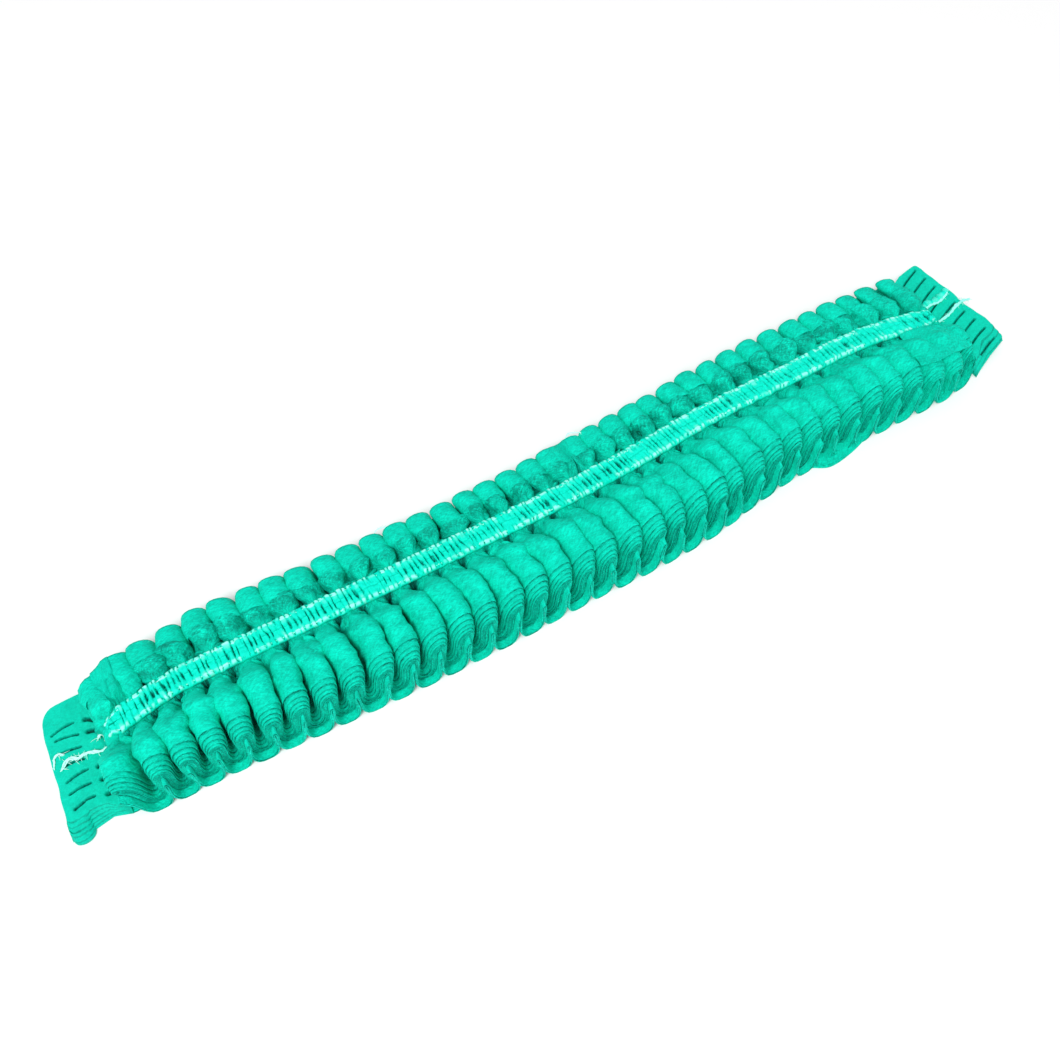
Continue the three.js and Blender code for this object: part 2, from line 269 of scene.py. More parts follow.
@dataclass(frozen=True)
class NonwovenFinish:
    """Thin spunbond cloth: fine crossing fibres in clumps, matt, with shade painted where layers meet.

    The colour runs from thin to dense by its mottle, relief and crumple are heights in metres, depth is how
    dark the painted crease shade gets, broken how much the fibres break it up, and shadow its darkest share.
    """

    name: str
    thin: Colour
    dense: Colour
    mottle: float = 1.0
    relief: float = 0.00012
    crumple: float = 0.0013
    roughness: float = 0.8
    sheen: float = 0.12
    depth: float = 0.55
    broken: float = 1.0
    shadow: float = 0.2
    # Colour of the painted highlights on ridges and beads.
    stretched: Colour = (0.36, 1.0, 0.88)

    def material(self) -> bpy.types.Material:
        """Builds the cloth's material on the piece's own cloth map."""
        board = Board(self.name)
        place, crease, white = board.cloth_map(), board.mark(PAINTED_SHADE), board.mark(PAINTED_HIGHLIGHT)
        clumps = board.speckle(place, 260.0, 2.0, 0.5, 0.6)
        flecks = board.speckle(place, 1150.0, 4.0, 0.72, 1.4)
        one_way = board.speckle(board.stretched(place, 0.6, 5.0), 3200.0, 3.0, 0.6, 0.4)
        other_way = board.speckle(board.stretched(place, -0.75, 5.0), 2900.0, 3.0, 0.6, 0.4)
        fibres = (one_way + other_way) * 0.5
        weight = 0.5 + self.mottle * (1.5 * (flecks - 0.5) + 1.9 * (fibres - 0.5) + 0.7 * (clumps - 0.5))
        cloth = board.tint(weight.clamped(), self.dense, self.thin)
        # Painted highlights where the mesh marks them, then painted shade in the creases, broken up by the
        # fibres
        highlighted = board.tint(white.clamped(), cloth, self.stretched)
        uneven = 4.0 * (0.5 - flecks) + 4.0 * (0.5 - fibres) + 2.0 * (0.5 - clumps)
        patchy = crease * self.depth * (1.0 + self.broken * uneven)
        shaded = board.tint(patchy.clamped(), highlighted, tuple(self.shadow * c for c in self.dense))
        wide = board.speckle(board.stretched(place, 1.2, 1.8), 330.0, 2.0, 0.5, 0.9)
        narrow = board.speckle(board.stretched(place, -0.5, 1.6), 820.0, 2.0, 0.5, 0.7)
        folds = (wide - 0.5).absolute() + 0.5 * (narrow - 0.5).absolute()
        crumples = board.node("ShaderNodeBump", None, {
            "Strength": 0.6, "Distance": self.crumple, "Height": folds,
        })
        bumps = board.node("ShaderNodeBump", None, {
            "Strength": 0.55, "Distance": self.relief, "Height": flecks * 0.6 + fibres, "Normal": crumples,
        })
        return board.surface({
            "Base Color": shaded,
            "Roughness": self.roughness + 0.12 * (flecks - 0.5),
            "Specular IOR Level": 0.1,
            "Sheen Weight": self.sheen,
            "Sheen Roughness": 0.5,
            "Sheen Tint": (*self.thin, 1.0),
            "Normal": bumps,
        })


@dataclass(frozen=True)
class ThreadFinish:
    """Covered elastic thread: pale, fuzzy, faintly twisted."""

    name: str
    pale: Colour
    shade: Colour

    def material(self) -> bpy.types.Material:
        """Builds the thread's material on the piece's own cloth map."""
        board = Board(self.name)
        place, crease = board.cloth_map(), board.mark(PAINTED_SHADE)
        fuzz = board.speckle(board.stretched(place, 0.9, 3.0), 2600.0, 3.0, 0.65, 0.5)
        # The fuzz varies the thread's own colour, and shade is painted into its creases
        colour = board.tint((fuzz * 0.5 + crease * 0.7).clamped(), self.pale, self.shade)
        bumps = board.node("ShaderNodeBump", None, {"Strength": 0.5, "Distance": 0.0001, "Height": fuzz})
        return board.surface({
            "Base Color": colour,
            "Roughness": 0.6 + 0.15 * fuzz,
            "Sheen Weight": 0.2,
            "Normal": bumps,
        })


@dataclass(frozen=True)
class FloorFinish:
    """Plain pale studio floor."""

    name: str = "pale_floor"
    grey: float = 0.92

    def material(self) -> bpy.types.Material:
        """Builds the floor's plain matt material."""
        board = Board(self.name)
        return board.surface({
            "Base Color": (self.grey, self.grey, self.grey, 1.0),
            "Roughness": 0.9,
            "Specular IOR Level": 0.1,
        })


class Finish(Enum):
    """The cap's finishes, each with the name of its material slot."""

    CLOTH = ("cloth", NonwovenFinish(
        "nonwoven_cloth", (0.0, 0.79, 0.565), (0.0, 0.43, 0.30), mottle=1.4, relief=0.00016, depth=0.66))
    HEM = ("hem_cloth", NonwovenFinish(
        "gathered_hem_cloth", (0.0, 0.95, 0.72), (0.0, 0.60, 0.44),
        mottle=0.8, relief=0.00008, crumple=0.0003, roughness=0.6, sheen=0.15, depth=0.76))
    WELDED = ("welded_cloth", NonwovenFinish(
        "welded_nonwoven", (0.0, 0.70, 0.50), (0.0, 0.44, 0.31),
        mottle=0.9, relief=0.0001, crumple=0.0005, roughness=0.65, sheen=0.1, depth=0.95, broken=0.35))
    ELASTIC = ("elastic", ThreadFinish("elastic_thread", (0.42, 1.0, 0.90), (0.0, 0.80, 0.62)))
    FRAYED = ("elastic", ThreadFinish("frayed_elastic", (0.68, 1.0, 0.94), (0.12, 0.88, 0.74)))

    @property
    def slot(self) -> str:
        """The name of the finish's material slot."""
        return self.value[0]

    def material(self) -> bpy.types.Material:
        """The finish's material, made once."""
        look = self.value[1]
        return bpy.data.materials.get(look.name) or look.material()


# Meshes


class Corner(NamedTuple):
    """A corner of a cloth grid: its place, its place on the flat cloth, and its shade.

    The last two are painted: shade as deep as the corner lies in a crease, and highlight on ridges and beads.
    """

    point: Vector
    flat: tuple[float, float]
    painted_shade: float = 0.0
    pale: float = 0.0


class ClothMesh:
    """A mesh of cloth grids with a cloth map and its shades at each corner.

    Corners closer than the weld distance are joined, and edges shorter than a sliver are dissolved.
    """

    WELD, SLIVER = 1e-7, 1e-8
    NEARLY_UP = Vector((0.0, 0.03, 1.0))

    def __init__(self) -> None:
        """Makes an empty mesh."""
        self.bm = bmesh.new()
        self.flat = self.bm.loops.layers.uv.new(CLOTH_MAP)
        self.painted_shade = self.bm.verts.layers.float.new(PAINTED_SHADE)
        self.pale = self.bm.verts.layers.float.new(PAINTED_HIGHLIGHT)

    def grid(self, columns: int, rows: int, corner: Callable[[int, int], Corner]) -> None:
        """Adds one grid.

        Args:
            columns: Faces along the grid.
            rows: Faces across it.
            corner: Gives the corner at a column and a row.
        """
        made = bmesh.ops.create_grid(self.bm, x_segments=columns, y_segments=rows, size=1.0)["verts"]
        maps = {}
        for vert in made:
            column = round((vert.co.x + 1) / 2 * columns)
            row = round((vert.co.y + 1) / 2 * rows)
            here = corner(column, row)
            vert.co = here.point
            vert[self.painted_shade] = here.painted_shade
            vert[self.pale] = here.pale
            maps[vert] = here.flat
        for vert in made:
            for loop in vert.link_loops:
                loop[self.flat].uv = maps[vert]

    def tube(
        self, route: Sequence[Vector], radii: Sequence[float], sides: int,
        shades: Sequence[tuple[float, float]] = (),
    ) -> None:
        """Adds a round thread along a route.

        Args:
            route: Points of its middle line.
            radii: Radius at each point.
            sides: Faces round it.
            shades: Painted shade and painted highlight at each point, or none.
        """
        last = len(route) - 1
        frames = []
        for i, here in enumerate(route):
            ahead = (route[min(i + 1, last)] - route[max(i - 1, 0)]).normalized()
            aside = ahead.cross(self.NEARLY_UP).normalized()
            frames.append((here, aside, aside.cross(ahead), radii[i]))
        length = sum((b - a).length for a, b in zip(route, route[1:]))

        def corner(column: int, row: int) -> Corner:
            """Corner on one ring of the thread."""
            here, aside, up, radius = frames[column]
            angle = TURN * row / sides
            point = here + radius * (math.cos(angle) * aside + math.sin(angle) * up)
            flat = (length * column / last, TURN * radius * row / sides)
            return Corner(point, flat, *(shades[column] if shades else (0.0, 0.0)))

        self.grid(last, sides, corner)

    def piece(self, name: str, finish: Finish, node: str, crisp: float = 50.0) -> bpy.types.Object:
        """Joins the mesh's seams and makes an object of it.

        Args:
            name: The piece's name.
            finish: Its finish.
            node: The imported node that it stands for.
            crisp: Edges sharper than this many degrees stay crisp.

        Returns:
            The finished piece.
        """
        bm = self.bm
        bmesh.ops.remove_doubles(bm, verts=bm.verts, dist=self.WELD)
        bmesh.ops.dissolve_degenerate(bm, edges=bm.edges, dist=self.SLIVER)
        for edge in bm.edges:
            edge.smooth = not edge.is_manifold or edge.calc_face_angle(0.0) < math.radians(crisp)
        for face in bm.faces:
            face.smooth = True
        mesh = bpy.data.meshes.new(name)
        bm.to_mesh(mesh)
        bm.free()
        mesh.materials.append(finish.material())
        made = placed(name, mesh)
        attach(made, "root")
        finish.slot
        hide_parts(node)
        LOG.info("%s: %d faces", name, len(mesh.polygons))
        return made

    def close(self) -> None:
        """Joins seams, fills open ends and turns every face outwards."""
        bm = self.bm
        bmesh.ops.remove_doubles(bm, verts=bm.verts, dist=self.WELD)
        bmesh.ops.holes_fill(bm, edges=[edge for edge in bm.edges if edge.is_boundary], sides=0)
        bmesh.ops.recalc_face_normals(bm, faces=bm.faces)


# The strip's own shape


class CourseRow(NamedTuple):
    """One row of the strip's course, as shares of its length and of its width."""

    along: float
    aside: float
    hem: float


class Place(NamedTuple):
    """A place on the strip: its middle, its direction and how far aside the hem band lies."""

    middle: Vector
    ahead: Vector
    hem: float


# Course of the strip in even steps from the first pleat to the last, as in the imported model.
COURSE = (
    CourseRow(-0.479, 0.082, 0.1),
    CourseRow(-0.384, 0.065, 0.131),
    CourseRow(-0.285, 0.027, 0.165),
    CourseRow(-0.185, -0.005, 0.184),
    CourseRow(-0.085, -0.013, 0.19),
    CourseRow(0.013, 0.004, 0.172),
    CourseRow(0.111, 0.042, 0.16),
    CourseRow(0.208, 0.088, 0.163),
    CourseRow(0.308, 0.122, 0.135),
    CourseRow(0.413, 0.121, 0.14),
    CourseRow(0.517, 0.12, 0.04),
)

# Across (share of the width from the middle), rise (share of the full rise) and set (how far a crest
# stands back from a valley, as a share of the pitch).
EDGES = (
    (-0.5, 0.80, 0.2),
    (-0.44, 0.86, 0.15),
    (-0.42, 0.89, 0.12),
    (-0.35, 0.97, 0.06),
    (-0.25, 1.0, 0.0),
    (0.45, 0.99, 0.0),
    (0.51, 0.95, 0.04),
)

# Crests that the hems pull over: front and back lean, as shares of the pitch.
LEANING = {
    0: (-0.6, -0.1), 1: (-0.1, -0.1), 32: (0.0, -0.1), 33: (0.0, -0.2), 34: (0.0, -0.3), 35: (0.0, -0.38),
    36: (0.05, -0.42),
}

# How far the hems' left end bends forwards off the strip's course: pleat and metres.
HEM_ENDS = ((0.0, -0.0038), (0.8, -0.0028), (2.0, -0.001), (3.2, 0.0))

# How far the front crests lean to the right, in pitches, from the first pleat to the last.
FRONT_LEAN = (
    (0.0, 0.0), (4.0, 0.12), (8.0, 0.3), (13.0, 0.48), (20.0, 0.44), (31.0, 0.52), (35.0, 0.42),
    (37.0, 0.05),
)

# Share of that lean from the hem to the front edge.
FRONT_PROFILE = ((0.0, 0.0), (0.2, 0.05), (0.38, 0.5), (0.5, 0.8), (0.65, 1.0), (0.8, 0.8), (1.0, 0.28))

# Where an edge draws in towards an end: pleat, side, share of the width, and over how many pleats.
NARROWING = ((0.0, -1, 0.06, 0.7), (37.0, -1, 0.09, 1.3), (37.0, 1, 0.04, 3.0))

# How far the back edge stands in from its line, and the front edge out: pleat and metres.
BACK_EDGE_IN = (
    (0.0, 0.0135), (0.25, 0.0104), (0.5, 0.0066), (0.9, 0.0036), (1.5, 0.0030), (2.5, 0.0026), (3.5, 0.0017),
    (4.5, 0.0),
)
FRONT_EDGE_OUT = ((17.5, 0.0), (19.5, 0.0012), (21.5, 0.002), (23.5, 0.0022), (25.2, 0.0008), (26.5, 0.0))

# Back lobes that run together: valley, and how full it is.
JOINED_LOBES = ((1.0, 1.0), (20.0, 0.8), (34.0, 0.2), (35.0, 0.25), (36.0, 0.3))


@dataclass(frozen=True)
class Strip:
    """The pleated strip's sizes and the way from its flat cloth to its folded form.

    Lengths are in metres. The stack climbs by a rise, less the hems' seat, under the hems, and by the front
    and back rise beyond them. waver is in pleats, back_lean in pitches, and overhang is how far crests stand
    out over valleys, with upright flanks at 1. flat_turn is how far from a valley's middle its underside is
    pressed flat, lowest the share of its place in the stack that a layer keeps over the surface, and pad
    how much thicker the flanks are below.
    """

    pleats: int = 37
    pitch: float = 0.0074
    width: float = 0.043
    thickness: float = 0.0025
    rise: float = 0.0066
    front_rise: float = 0.0116
    back_rise: float = 0.0076
    waver: float = 0.07
    overhang: float = 1.12
    hem_width: float = 0.0026
    hem_seat: float = 0.0013
    pinch_reach: float = 0.008
    back_reach: float = 0.004
    pad: float = 0.0007
    thread: float = 0.0008
    clearance: float = 0.0003
    start: tuple[float, float] = (-0.004179, -0.002648)
    flat_turn: float = 0.06
    back_lean: float = -0.2
    lowest: float = 0.35

    @property
    def band(self) -> float:
        """Half the width of the hem band with its elastics."""
        return self.hem_width + 2.5 * self.clearance + self.thread

    @property
    def dipped_rise(self) -> float:
        """Rise of the crests under the hems."""
        return self.rise - self.hem_seat

    @cached_property
    def seat(self) -> float:
        """Height of the crests under the hems."""
        return self.thickness + self.dipped_rise - self.pressed_flat(self.dipped_rise)

    def pressed_flat(self, rise: float) -> float:
        """How much the underside of each valley is pressed flat where the cap rests."""
        turn = self.flat_turn
        normal = Vector((-math.pi * rise * math.sin(TURN * turn),
                         self.pitch * (1 + math.cos(2 * TURN * turn)))).normalized()
        return self.thickness / 2 * (1 - normal.y) + climb_at(turn) * rise

    def from_end(self, pleat: float) -> float:
        """Pleats to the strip's nearer end."""
        return min(pleat, self.pleats - pleat)

    def beside(self, place: Place, aside: float) -> tuple[float, float]:
        """Side of the hem band, -1 in front and 1 behind, and the distance beyond the band's edge."""
        off = aside - place.hem
        return math.copysign(1.0, off), abs(off) - self.band

    def rise_at(self, place: Place, aside: float) -> float:
        """How far the stack climbs there from a valley to a crest."""
        side, beyond = self.beside(place, aside)
        full, over = self.back_rise, self.back_reach
        if side < 0:
            full, over = self.front_rise, self.pinch_reach
        share = between(EDGES, aside / self.width)[0]
        return self.dipped_rise + (full * share - self.dipped_rise) * ease(beyond / over)

    def place(self, pleat: float) -> Place:
        """Place on the strip's course at a number of pleats from its left end."""
        wavering = pleat + self.waver * wander(pleat * 0.83, 2.0) * ease(self.from_end(pleat))
        here, slope = curve_at([Vector(row) for row in COURSE], wavering / self.pleats)
        length = self.pleats * self.pitch
        middle = Vector((here.x * length + self.start[0], here.y * self.width + self.start[1]))
        ahead = Vector((slope.x * length, slope.y * self.width)).normalized()
        return Place(middle, ahead, here.z * self.width + between(HEM_ENDS, pleat)[0])

    def point(self, place: Place, on: float, aside: float, height: float) -> Vector:
        """Point of the strip: on past a place, aside of its middle, at a height."""
        side = Vector((-place.ahead.y, place.ahead.x))
        flat = place.middle + place.ahead * on + side * aside
        return Vector((flat.x, flat.y, height))

    def reach(self, place: Place, aside: float) -> float:
        """Share of the way from the hem band to the front (negative) or back (positive) edge."""
        side = self.beside(place, aside)[0]
        edge = side * self.width / 2
        return side * min(1.0, (aside - place.hem) / (edge - place.hem))

    def lean(self, pleat: float, reach: float) -> float:
        """How far a crest leans along the strip."""
        crest = min(self.pleats - 1, max(0, math.floor(pleat)))
        uneven = 0.05 * math.sin(2.3 * crest) + 0.04 * math.sin(5.1 * crest + 1)
        uneven += 0.16 * wander(crest * 1.71, reach * 2.4)
        front, back = LEANING.get(crest, (0.0, 0.0))
        if reach < 0:
            general = between(FRONT_LEAN, crest + 0.5)[0] * between(FRONT_PROFILE, -reach)[0]
            return (general + (uneven + front) * -reach) * self.pitch
        return (self.back_lean * ease(reach * 1.3 - 0.3) + (uneven + back) * reach) * self.pitch

    def drawn_in(self, pleat: float, reach: float) -> float:
        """How far the edge draws in towards an end tab."""
        shares = [by * max(0.0, 1 - abs(pleat - at) / over)
                  for at, side, by, over in NARROWING if side * reach > 0]
        drawn = max(0.0, *shares) * abs(reach) * self.width
        if reach > 0:
            return drawn + between(BACK_EDGE_IN, pleat)[0] * reach
        return drawn - between(FRONT_EDGE_OUT, pleat)[0] * reach**2

    def joined(self, pleat: float, reach: float) -> float:
        """How full a valley is where two back lobes run together."""
        for valley, fill in JOINED_LOBES:
            if abs(pleat - valley) < 0.5 and reach > 0:
                return fill * ease(reach * 2.2) * ease((0.5 - abs(pleat - valley)) / 0.14)
        return 0.0

    def stack(
        self, turn: float, place: Place, aside: float, share: float,
        lift: float, fill: float, bulge: float, thin: float,
    ) -> Vector:
        """Point of the folded stack.

        Args:
            turn: Pleats from the left end; a crest stands at each half.
            place: The strip's place there.
            aside: Distance from the strip's middle.
            share: Share of the stack's thickness, 0 at its underside.
            lift: Distance off that face, outwards.
            fill: How full the valley is.
            bulge: How far a crest's shoulders stand out over the valleys.
            thin: How far a crest's flanks are drawn together, from 0 to 1.

        Returns:
            The point, in the cap's frame.
        """
        reach = self.reach(place, aside)
        set_back = between(EDGES, aside / self.width)[1]
        rise = self.rise_at(place, aside)
        fill = 1 - (1 - fill) * (1 - self.joined(turn, reach))
        steep = 1 - fill
        angle = TURN * turn
        swing = self.overhang * steep * (1 - thin)
        normal = Vector((-math.pi * rise * steep * math.sin(angle),
                         self.pitch * (1 + swing * math.cos(2 * angle))))
        normal = normal.normalized() if normal.length > 1e-9 else Vector((0.0, 1.0))
        out = (share - 0.5) * self.thickness * (1 - thin * math.sin(angle) ** 2) + lift
        out -= self.pad * max(0.0, 1 - 2 * share) * math.sin(angle) ** 2
        # Along the strip the crest's flanks swing out over the valleys, and its top leans
        climb = climb_at(turn)
        shoulder = bulge * math.sin(angle - math.pi) * climb**2 * steep
        on = swing * math.sin(2 * angle) / (2 * TURN) * self.pitch + normal.x * out + shoulder
        on += self.lean(turn, reach) * climb**2
        height = self.thickness / 2 + (climb + (1 - climb) * fill) * rise + normal.y * out
        height -= self.pressed_flat(rise)
        height = max(height, self.lowest * share * self.thickness)
        back = set_back * climb * self.pitch + self.drawn_in(turn, reach)
        return self.point(place, on, aside - (back if reach > 0 else -back), height)


# The pleated crown


class LayerRow(NamedTuple):
    """A row of the stack's outline in cross-section.

    across is metres from the strip's middle, share is the share of the stack's thickness, then comes the
    shade painted on the row as deep as it lies in a crease, and layer numbers the layer that it belongs to.
    """

    across: float
    share: float
    painted_shade: float
    layer: int


@dataclass(frozen=True)
class PleatedCrown:
    """The folded layers of the cap, bent up and down into narrow pleats.

    Edges are metres across from the strip's middle. The two lowest layers stand out by the margin, the next
    ones end nearly flush, and the uppermost ones lie back by the treads. gap and curl are shares of the
    stack's thickness: the slit under a layer's edge, and how far the edge stands up. gathers counts the
    small wrinkles a pleat, and drawn is how far the flanks are drawn together beside the hems. Heights are
    those of the wrinkles and folds; large_front and large_behind give a height and a reach from the hems.
    """

    strip: Strip
    layers: int = 12
    columns_a_pleat: int = 22
    sheet_columns: int = 26
    row_step: float = 0.00058
    cloth_a_pleat: float = 0.024
    front_edge: float = -0.0217
    stepped_edge: float = -0.012
    margin: float = 0.0025
    flush_step: float = 0.00016
    treads: tuple[float, ...] = (0.0, 0.0008, 0.0018, 0.0031, 0.0048)
    flush_layers: int = 5
    tuck: float = 0.0003
    gap: float = 0.018
    curl: float = 0.03
    cuff: float = 0.0157
    back_edge: float = 0.0229
    folds: int = 5
    gathers: float = 4.6
    gather_reach: float = 0.0032
    drawn: float = 0.6
    small_height: float = 0.0011
    large_front: tuple[float, float] = (0.0018, 0.0042)
    large_behind: tuple[float, float] = (0.0017, 0.0040)
    crumple_height: float = 0.0003
    long_height: float = 0.0018
    fan_height: float = 0.0011
    deepest: float = 0.00042
    crest_height: float = 0.00035
    flap_drop: float = 0.0015
    forward_reach: float = 0.0042

    def edge_of(self, layer: int) -> float:
        """Front edge of a layer, counted from the lowest."""
        if layer < 2:
            return self.front_edge + 0.0002 * layer
        flush = self.front_edge + self.margin + self.flush_step * min(layer - 2, self.flush_layers)
        return flush + self.treads[max(0, layer - 2 - self.flush_layers)]

    def stepped_rows(self, layer: int) -> list[LayerRow]:
        """Rows of one layer's front edge and tread, as far as the edge of the layer above."""
        edge, behind = self.edge_of(layer), self.edge_of(layer + 1)
        low, high = layer / self.layers, (layer + 1) / self.layers
        # Shade is painted in the slit under each edge and where the tread runs under the layer above
        rows = [LayerRow(edge, low + self.gap, 0.6, layer), LayerRow(edge, high + self.curl, 0.0, layer)]
        if layer == 1:
            rows += [LayerRow(edge + (behind - edge) * share, high, 0.02, layer)
                     for share in (0.3, 0.6, 0.85)]
        elif behind - edge > 0.0004:
            rows.append(LayerRow(edge + (behind - edge) * 0.45, high + self.curl / 2, 0.0, layer))
            rows.append(LayerRow(edge + (behind - edge) * 0.75, high, 0.3, layer))
        rows.append(LayerRow(behind - 0.00005, high - self.curl / 2, 0.85, layer))
        rows.append(LayerRow(behind + self.tuck, high - self.curl / 2, 1.0, layer))
        return rows

    def cover_rows(self) -> list[LayerRow]:
        """Rows of the stack's own top: hidden under the top sheet, then the cuff and the back lobes."""
        cover = self.layers - 1
        inner, under = self.edge_of(cover) + 0.0012, self.cuff + 0.001
        steps = round((self.cuff - inner) / 0.0014)
        # Painted shade on the hidden rows and up the cuff's edge
        rows = [LayerRow(inner + (under - inner) * i / steps, 0.76, 1.0, cover) for i in range(steps + 1)]
        rows += [
            LayerRow(under, 1.02, 1.0, cover),
            LayerRow(self.cuff, 1.02, 1.0, cover),
            LayerRow(self.cuff - 0.00012, 1.08, 0.3, cover),
            LayerRow(self.cuff + 0.0001, 1.15, 0.0, cover),
        ]
        for share in (0.12, 0.3, 0.48, 0.64, 0.78, 0.88, 0.95):
            across = self.cuff + (self.back_edge - self.cuff) * share
            rows.append(LayerRow(across, 1.14 - 0.3 * max(0.0, share - 0.3) ** 2, 0.0, cover))
        return rows

    def back_rows(self) -> list[LayerRow]:
        """Rows of the soft folds that make the back edge."""
        rows = []
        for fold in range(self.folds):
            middle = 0.86 - 0.17 * fold
            # Each fold has painted shade where it tucks under
            rows += [
                LayerRow(self.back_edge + 0.00005, middle + 0.055, 0.05, fold),
                LayerRow(self.back_edge + 0.0002, middle, 0.0, fold),
                LayerRow(self.back_edge + 0.00005, middle - 0.055, 0.1, fold),
                LayerRow(self.back_edge - 0.0004, middle - 0.085, 1.0, fold),
            ]
        return rows

    def outline(self) -> list[LayerRow]:
        """Cross-section of the stack, from its lowest front edge over the top and back underneath."""
        rows = [row for layer in range(self.layers - 1) for row in self.stepped_rows(layer)]
        rows += self.cover_rows() + self.back_rows()
        # The underside, in painted shade
        rows += [LayerRow(across, 0.0, 0.3, 0) for across in (0.021, 0.015, 0.007, -0.002, -0.011, -0.018)]
        rows.append(LayerRow(self.front_edge + 0.0002, 0.0, 0.2, 0))
        rows.append(rows[0])
        return rows

    def deep(self, turn: float, side: float, usual: float) -> float:
        """How deep the nearest valley is beside the hems, from 0 to 1, round its usual depth."""
        return clamp(usual + 1.3 * wander(round(turn) * 2.3, side * 5.0))

    def hollow(self, turn: float, beyond: float, side: float) -> float:
        """How open a valley stays close to the hems, from 0 to 1."""
        depth = self.deep(turn, side, 0.8)
        return depth * ease((0.0058 - beyond) / 0.003) * ease(self.strip.from_end(turn) - 0.5)

    def bulge(self, turn: float, aside: float) -> float:
        """How far the crests' shoulders stand out over a valley, least at the layered front."""
        front = ease((aside - self.edge_of(3)) / 0.006)
        valley = round(turn)
        uneven = wander(valley * 1.73, aside * 130) + 0.6 * wander(valley * 3.1, aside * 300)
        return 0.0002 + 0.0010 * front * min(1.1, 0.75 + 1.1 * uneven)

    def pit(self, turn: float, beyond: float, side: float) -> float:
        """How far the top sheet sinks into a valley beside the hems, from 0 to 1."""
        depth = self.deep(turn, side, 0.75)
        width = 0.19 + 0.14 * ease(beyond / 0.003)
        return depth * ease(1.4 - 1.4 * abs(turn - round(turn)) / width) * ease((beyond + 0.0006) / 0.0006)

    def fullness(self, turn: float, aside: float) -> float:
        """Unevenness of the crests' heights; the last one lies lower in front, under the loose flap."""
        crest = math.floor(turn)
        lower = self.flap_drop * ease((-aside - 0.004) / 0.006) * (crest == self.strip.pleats - 1)
        return (self.crest_height * wander(crest * 1.37, 5.5) - lower) * climb_at(turn) ** 2

    def cuffed(self, turn: float) -> float:
        """Whether the back lobes show a cuff there, from 0 at the joined first lobes to 1."""
        return ease((turn - 1.9) / 0.3) * (0.35 + 0.65 * ease((34.6 - turn) / 1.5))

    def forward(self, turn: float, layer: int) -> float:
        """How far the upper layers reach forwards near the right end, where they end nearly flush."""
        reach = self.forward_reach * ease((turn - 33.6) / 1.2) * ease((36.1 - turn) / 0.6)
        return reach * layer / self.layers

    def contact(self, turn: float) -> float:
        """Shade of a crest's flanks towards the valley beside it."""
        return (0.4 + 0.35 * ease((turn - 1) / 5)) * ease((0.78 - climb_at(turn)) / 0.35)

    def radial_fold(self, turn: float, across: float) -> float:
        """Height of the folds that fan out over the joined first lobes."""
        fan = turn * 2.3 / (0.35 + 40 * max(0.0, across))
        return self.fan_height * wander(fan, 4.0) * ease(across / 0.006) * (1 - self.cuffed(turn))

    def unevenness(self, turn: float, row: LayerRow) -> tuple[float, float]:
        """How far a row of the stack sways across the strip, and its wave as a share of the thickness."""
        if row.across > self.cuff - 0.0002:
            return 0.0005 * wander(math.floor(turn) * 1.9, 3.0) + 0.0003 * wander(turn * 2.4, 8.0), 0.0
        if row.across < self.stepped_edge and row.share > 0:
            sway = 0.00022 * wander(turn * 0.9, row.layer * 2.7) - self.forward(turn, row.layer)
            return sway, 0.02 * wander(turn * 2.1, row.layer * 1.9, 4.0)
        return 0.0, 0.0

    def folded_layers(self) -> bpy.types.Object:
        """Every layer under the top one, with stepped front edges, a cuff and folded back edges."""
        strip = self.strip
        columns = self.columns_a_pleat * strip.pleats
        places = [strip.place(column / self.columns_a_pleat) for column in range(columns + 1)]
        rows = self.outline()
        mesh = ClothMesh()

        def corner(column: int, row: int) -> Corner:
            """Corner of the stack's skin."""
            turn, place = column / self.columns_a_pleat, places[column]
            here = rows[row % (len(rows) - 1)]
            sway, wave = self.unevenness(turn, here)
            side, beyond = strip.beside(place, here.across)
            narrow = self.hollow(turn, beyond, side)
            share, painted_shade = here.share + wave, here.painted_shade
            # The cuff and the back lobes stand proud of the stack
            if here.across > 0 and here.share > 1:
                cuffed = self.cuffed(turn)
                share = 1.03 + (share - 1.03) * cuffed
                # Painted shade on the lobes' flanks beside the valleys, and less on the hidden rows where no
                # cuff shows
                contact = 0.8 * self.contact(turn) * (1 - strip.joined(turn, 1.0))
                painted_shade = max(painted_shade * (0.06 + 0.94 * cuffed), contact)
            lift = self.fullness(turn, here.across) + self.radial_fold(turn, here.across)
            point = strip.stack(
                turn, place, here.across + sway, share,
                lift=lift if here.share > 0.1 else 0.0, fill=0.0,
                bulge=self.bulge(turn, here.across) * (1 - 0.9 * narrow) * here.share,
                thin=self.drawn * narrow)
            # Every layer takes its own part of the cloth's pattern
            flat = (turn * self.cloth_a_pleat + 0.37 * here.layer, here.across + 0.0002 * row)
            return Corner(point, flat, painted_shade)

        mesh.grid(columns, len(rows) - 1, corner)
        mesh.close()
        return mesh.piece("folded_layers", Finish.CLOTH, "pleated_crown")

    def gather(self, turn: float, beyond: float, side: float) -> float:
        """Count of the small wrinkles along the hems, which wander as they run out."""
        return self.gathers * turn + 0.8 * wander(turn * 0.9, beyond * 160, side)

    def fold(self, turn: float, beyond: float, side: float) -> float:
        """Count of the larger folds along the hems, which wander as they run out."""
        return 2.3 * turn + 1.1 * wander(turn * 0.7 + 9, beyond * 90, side * 3)

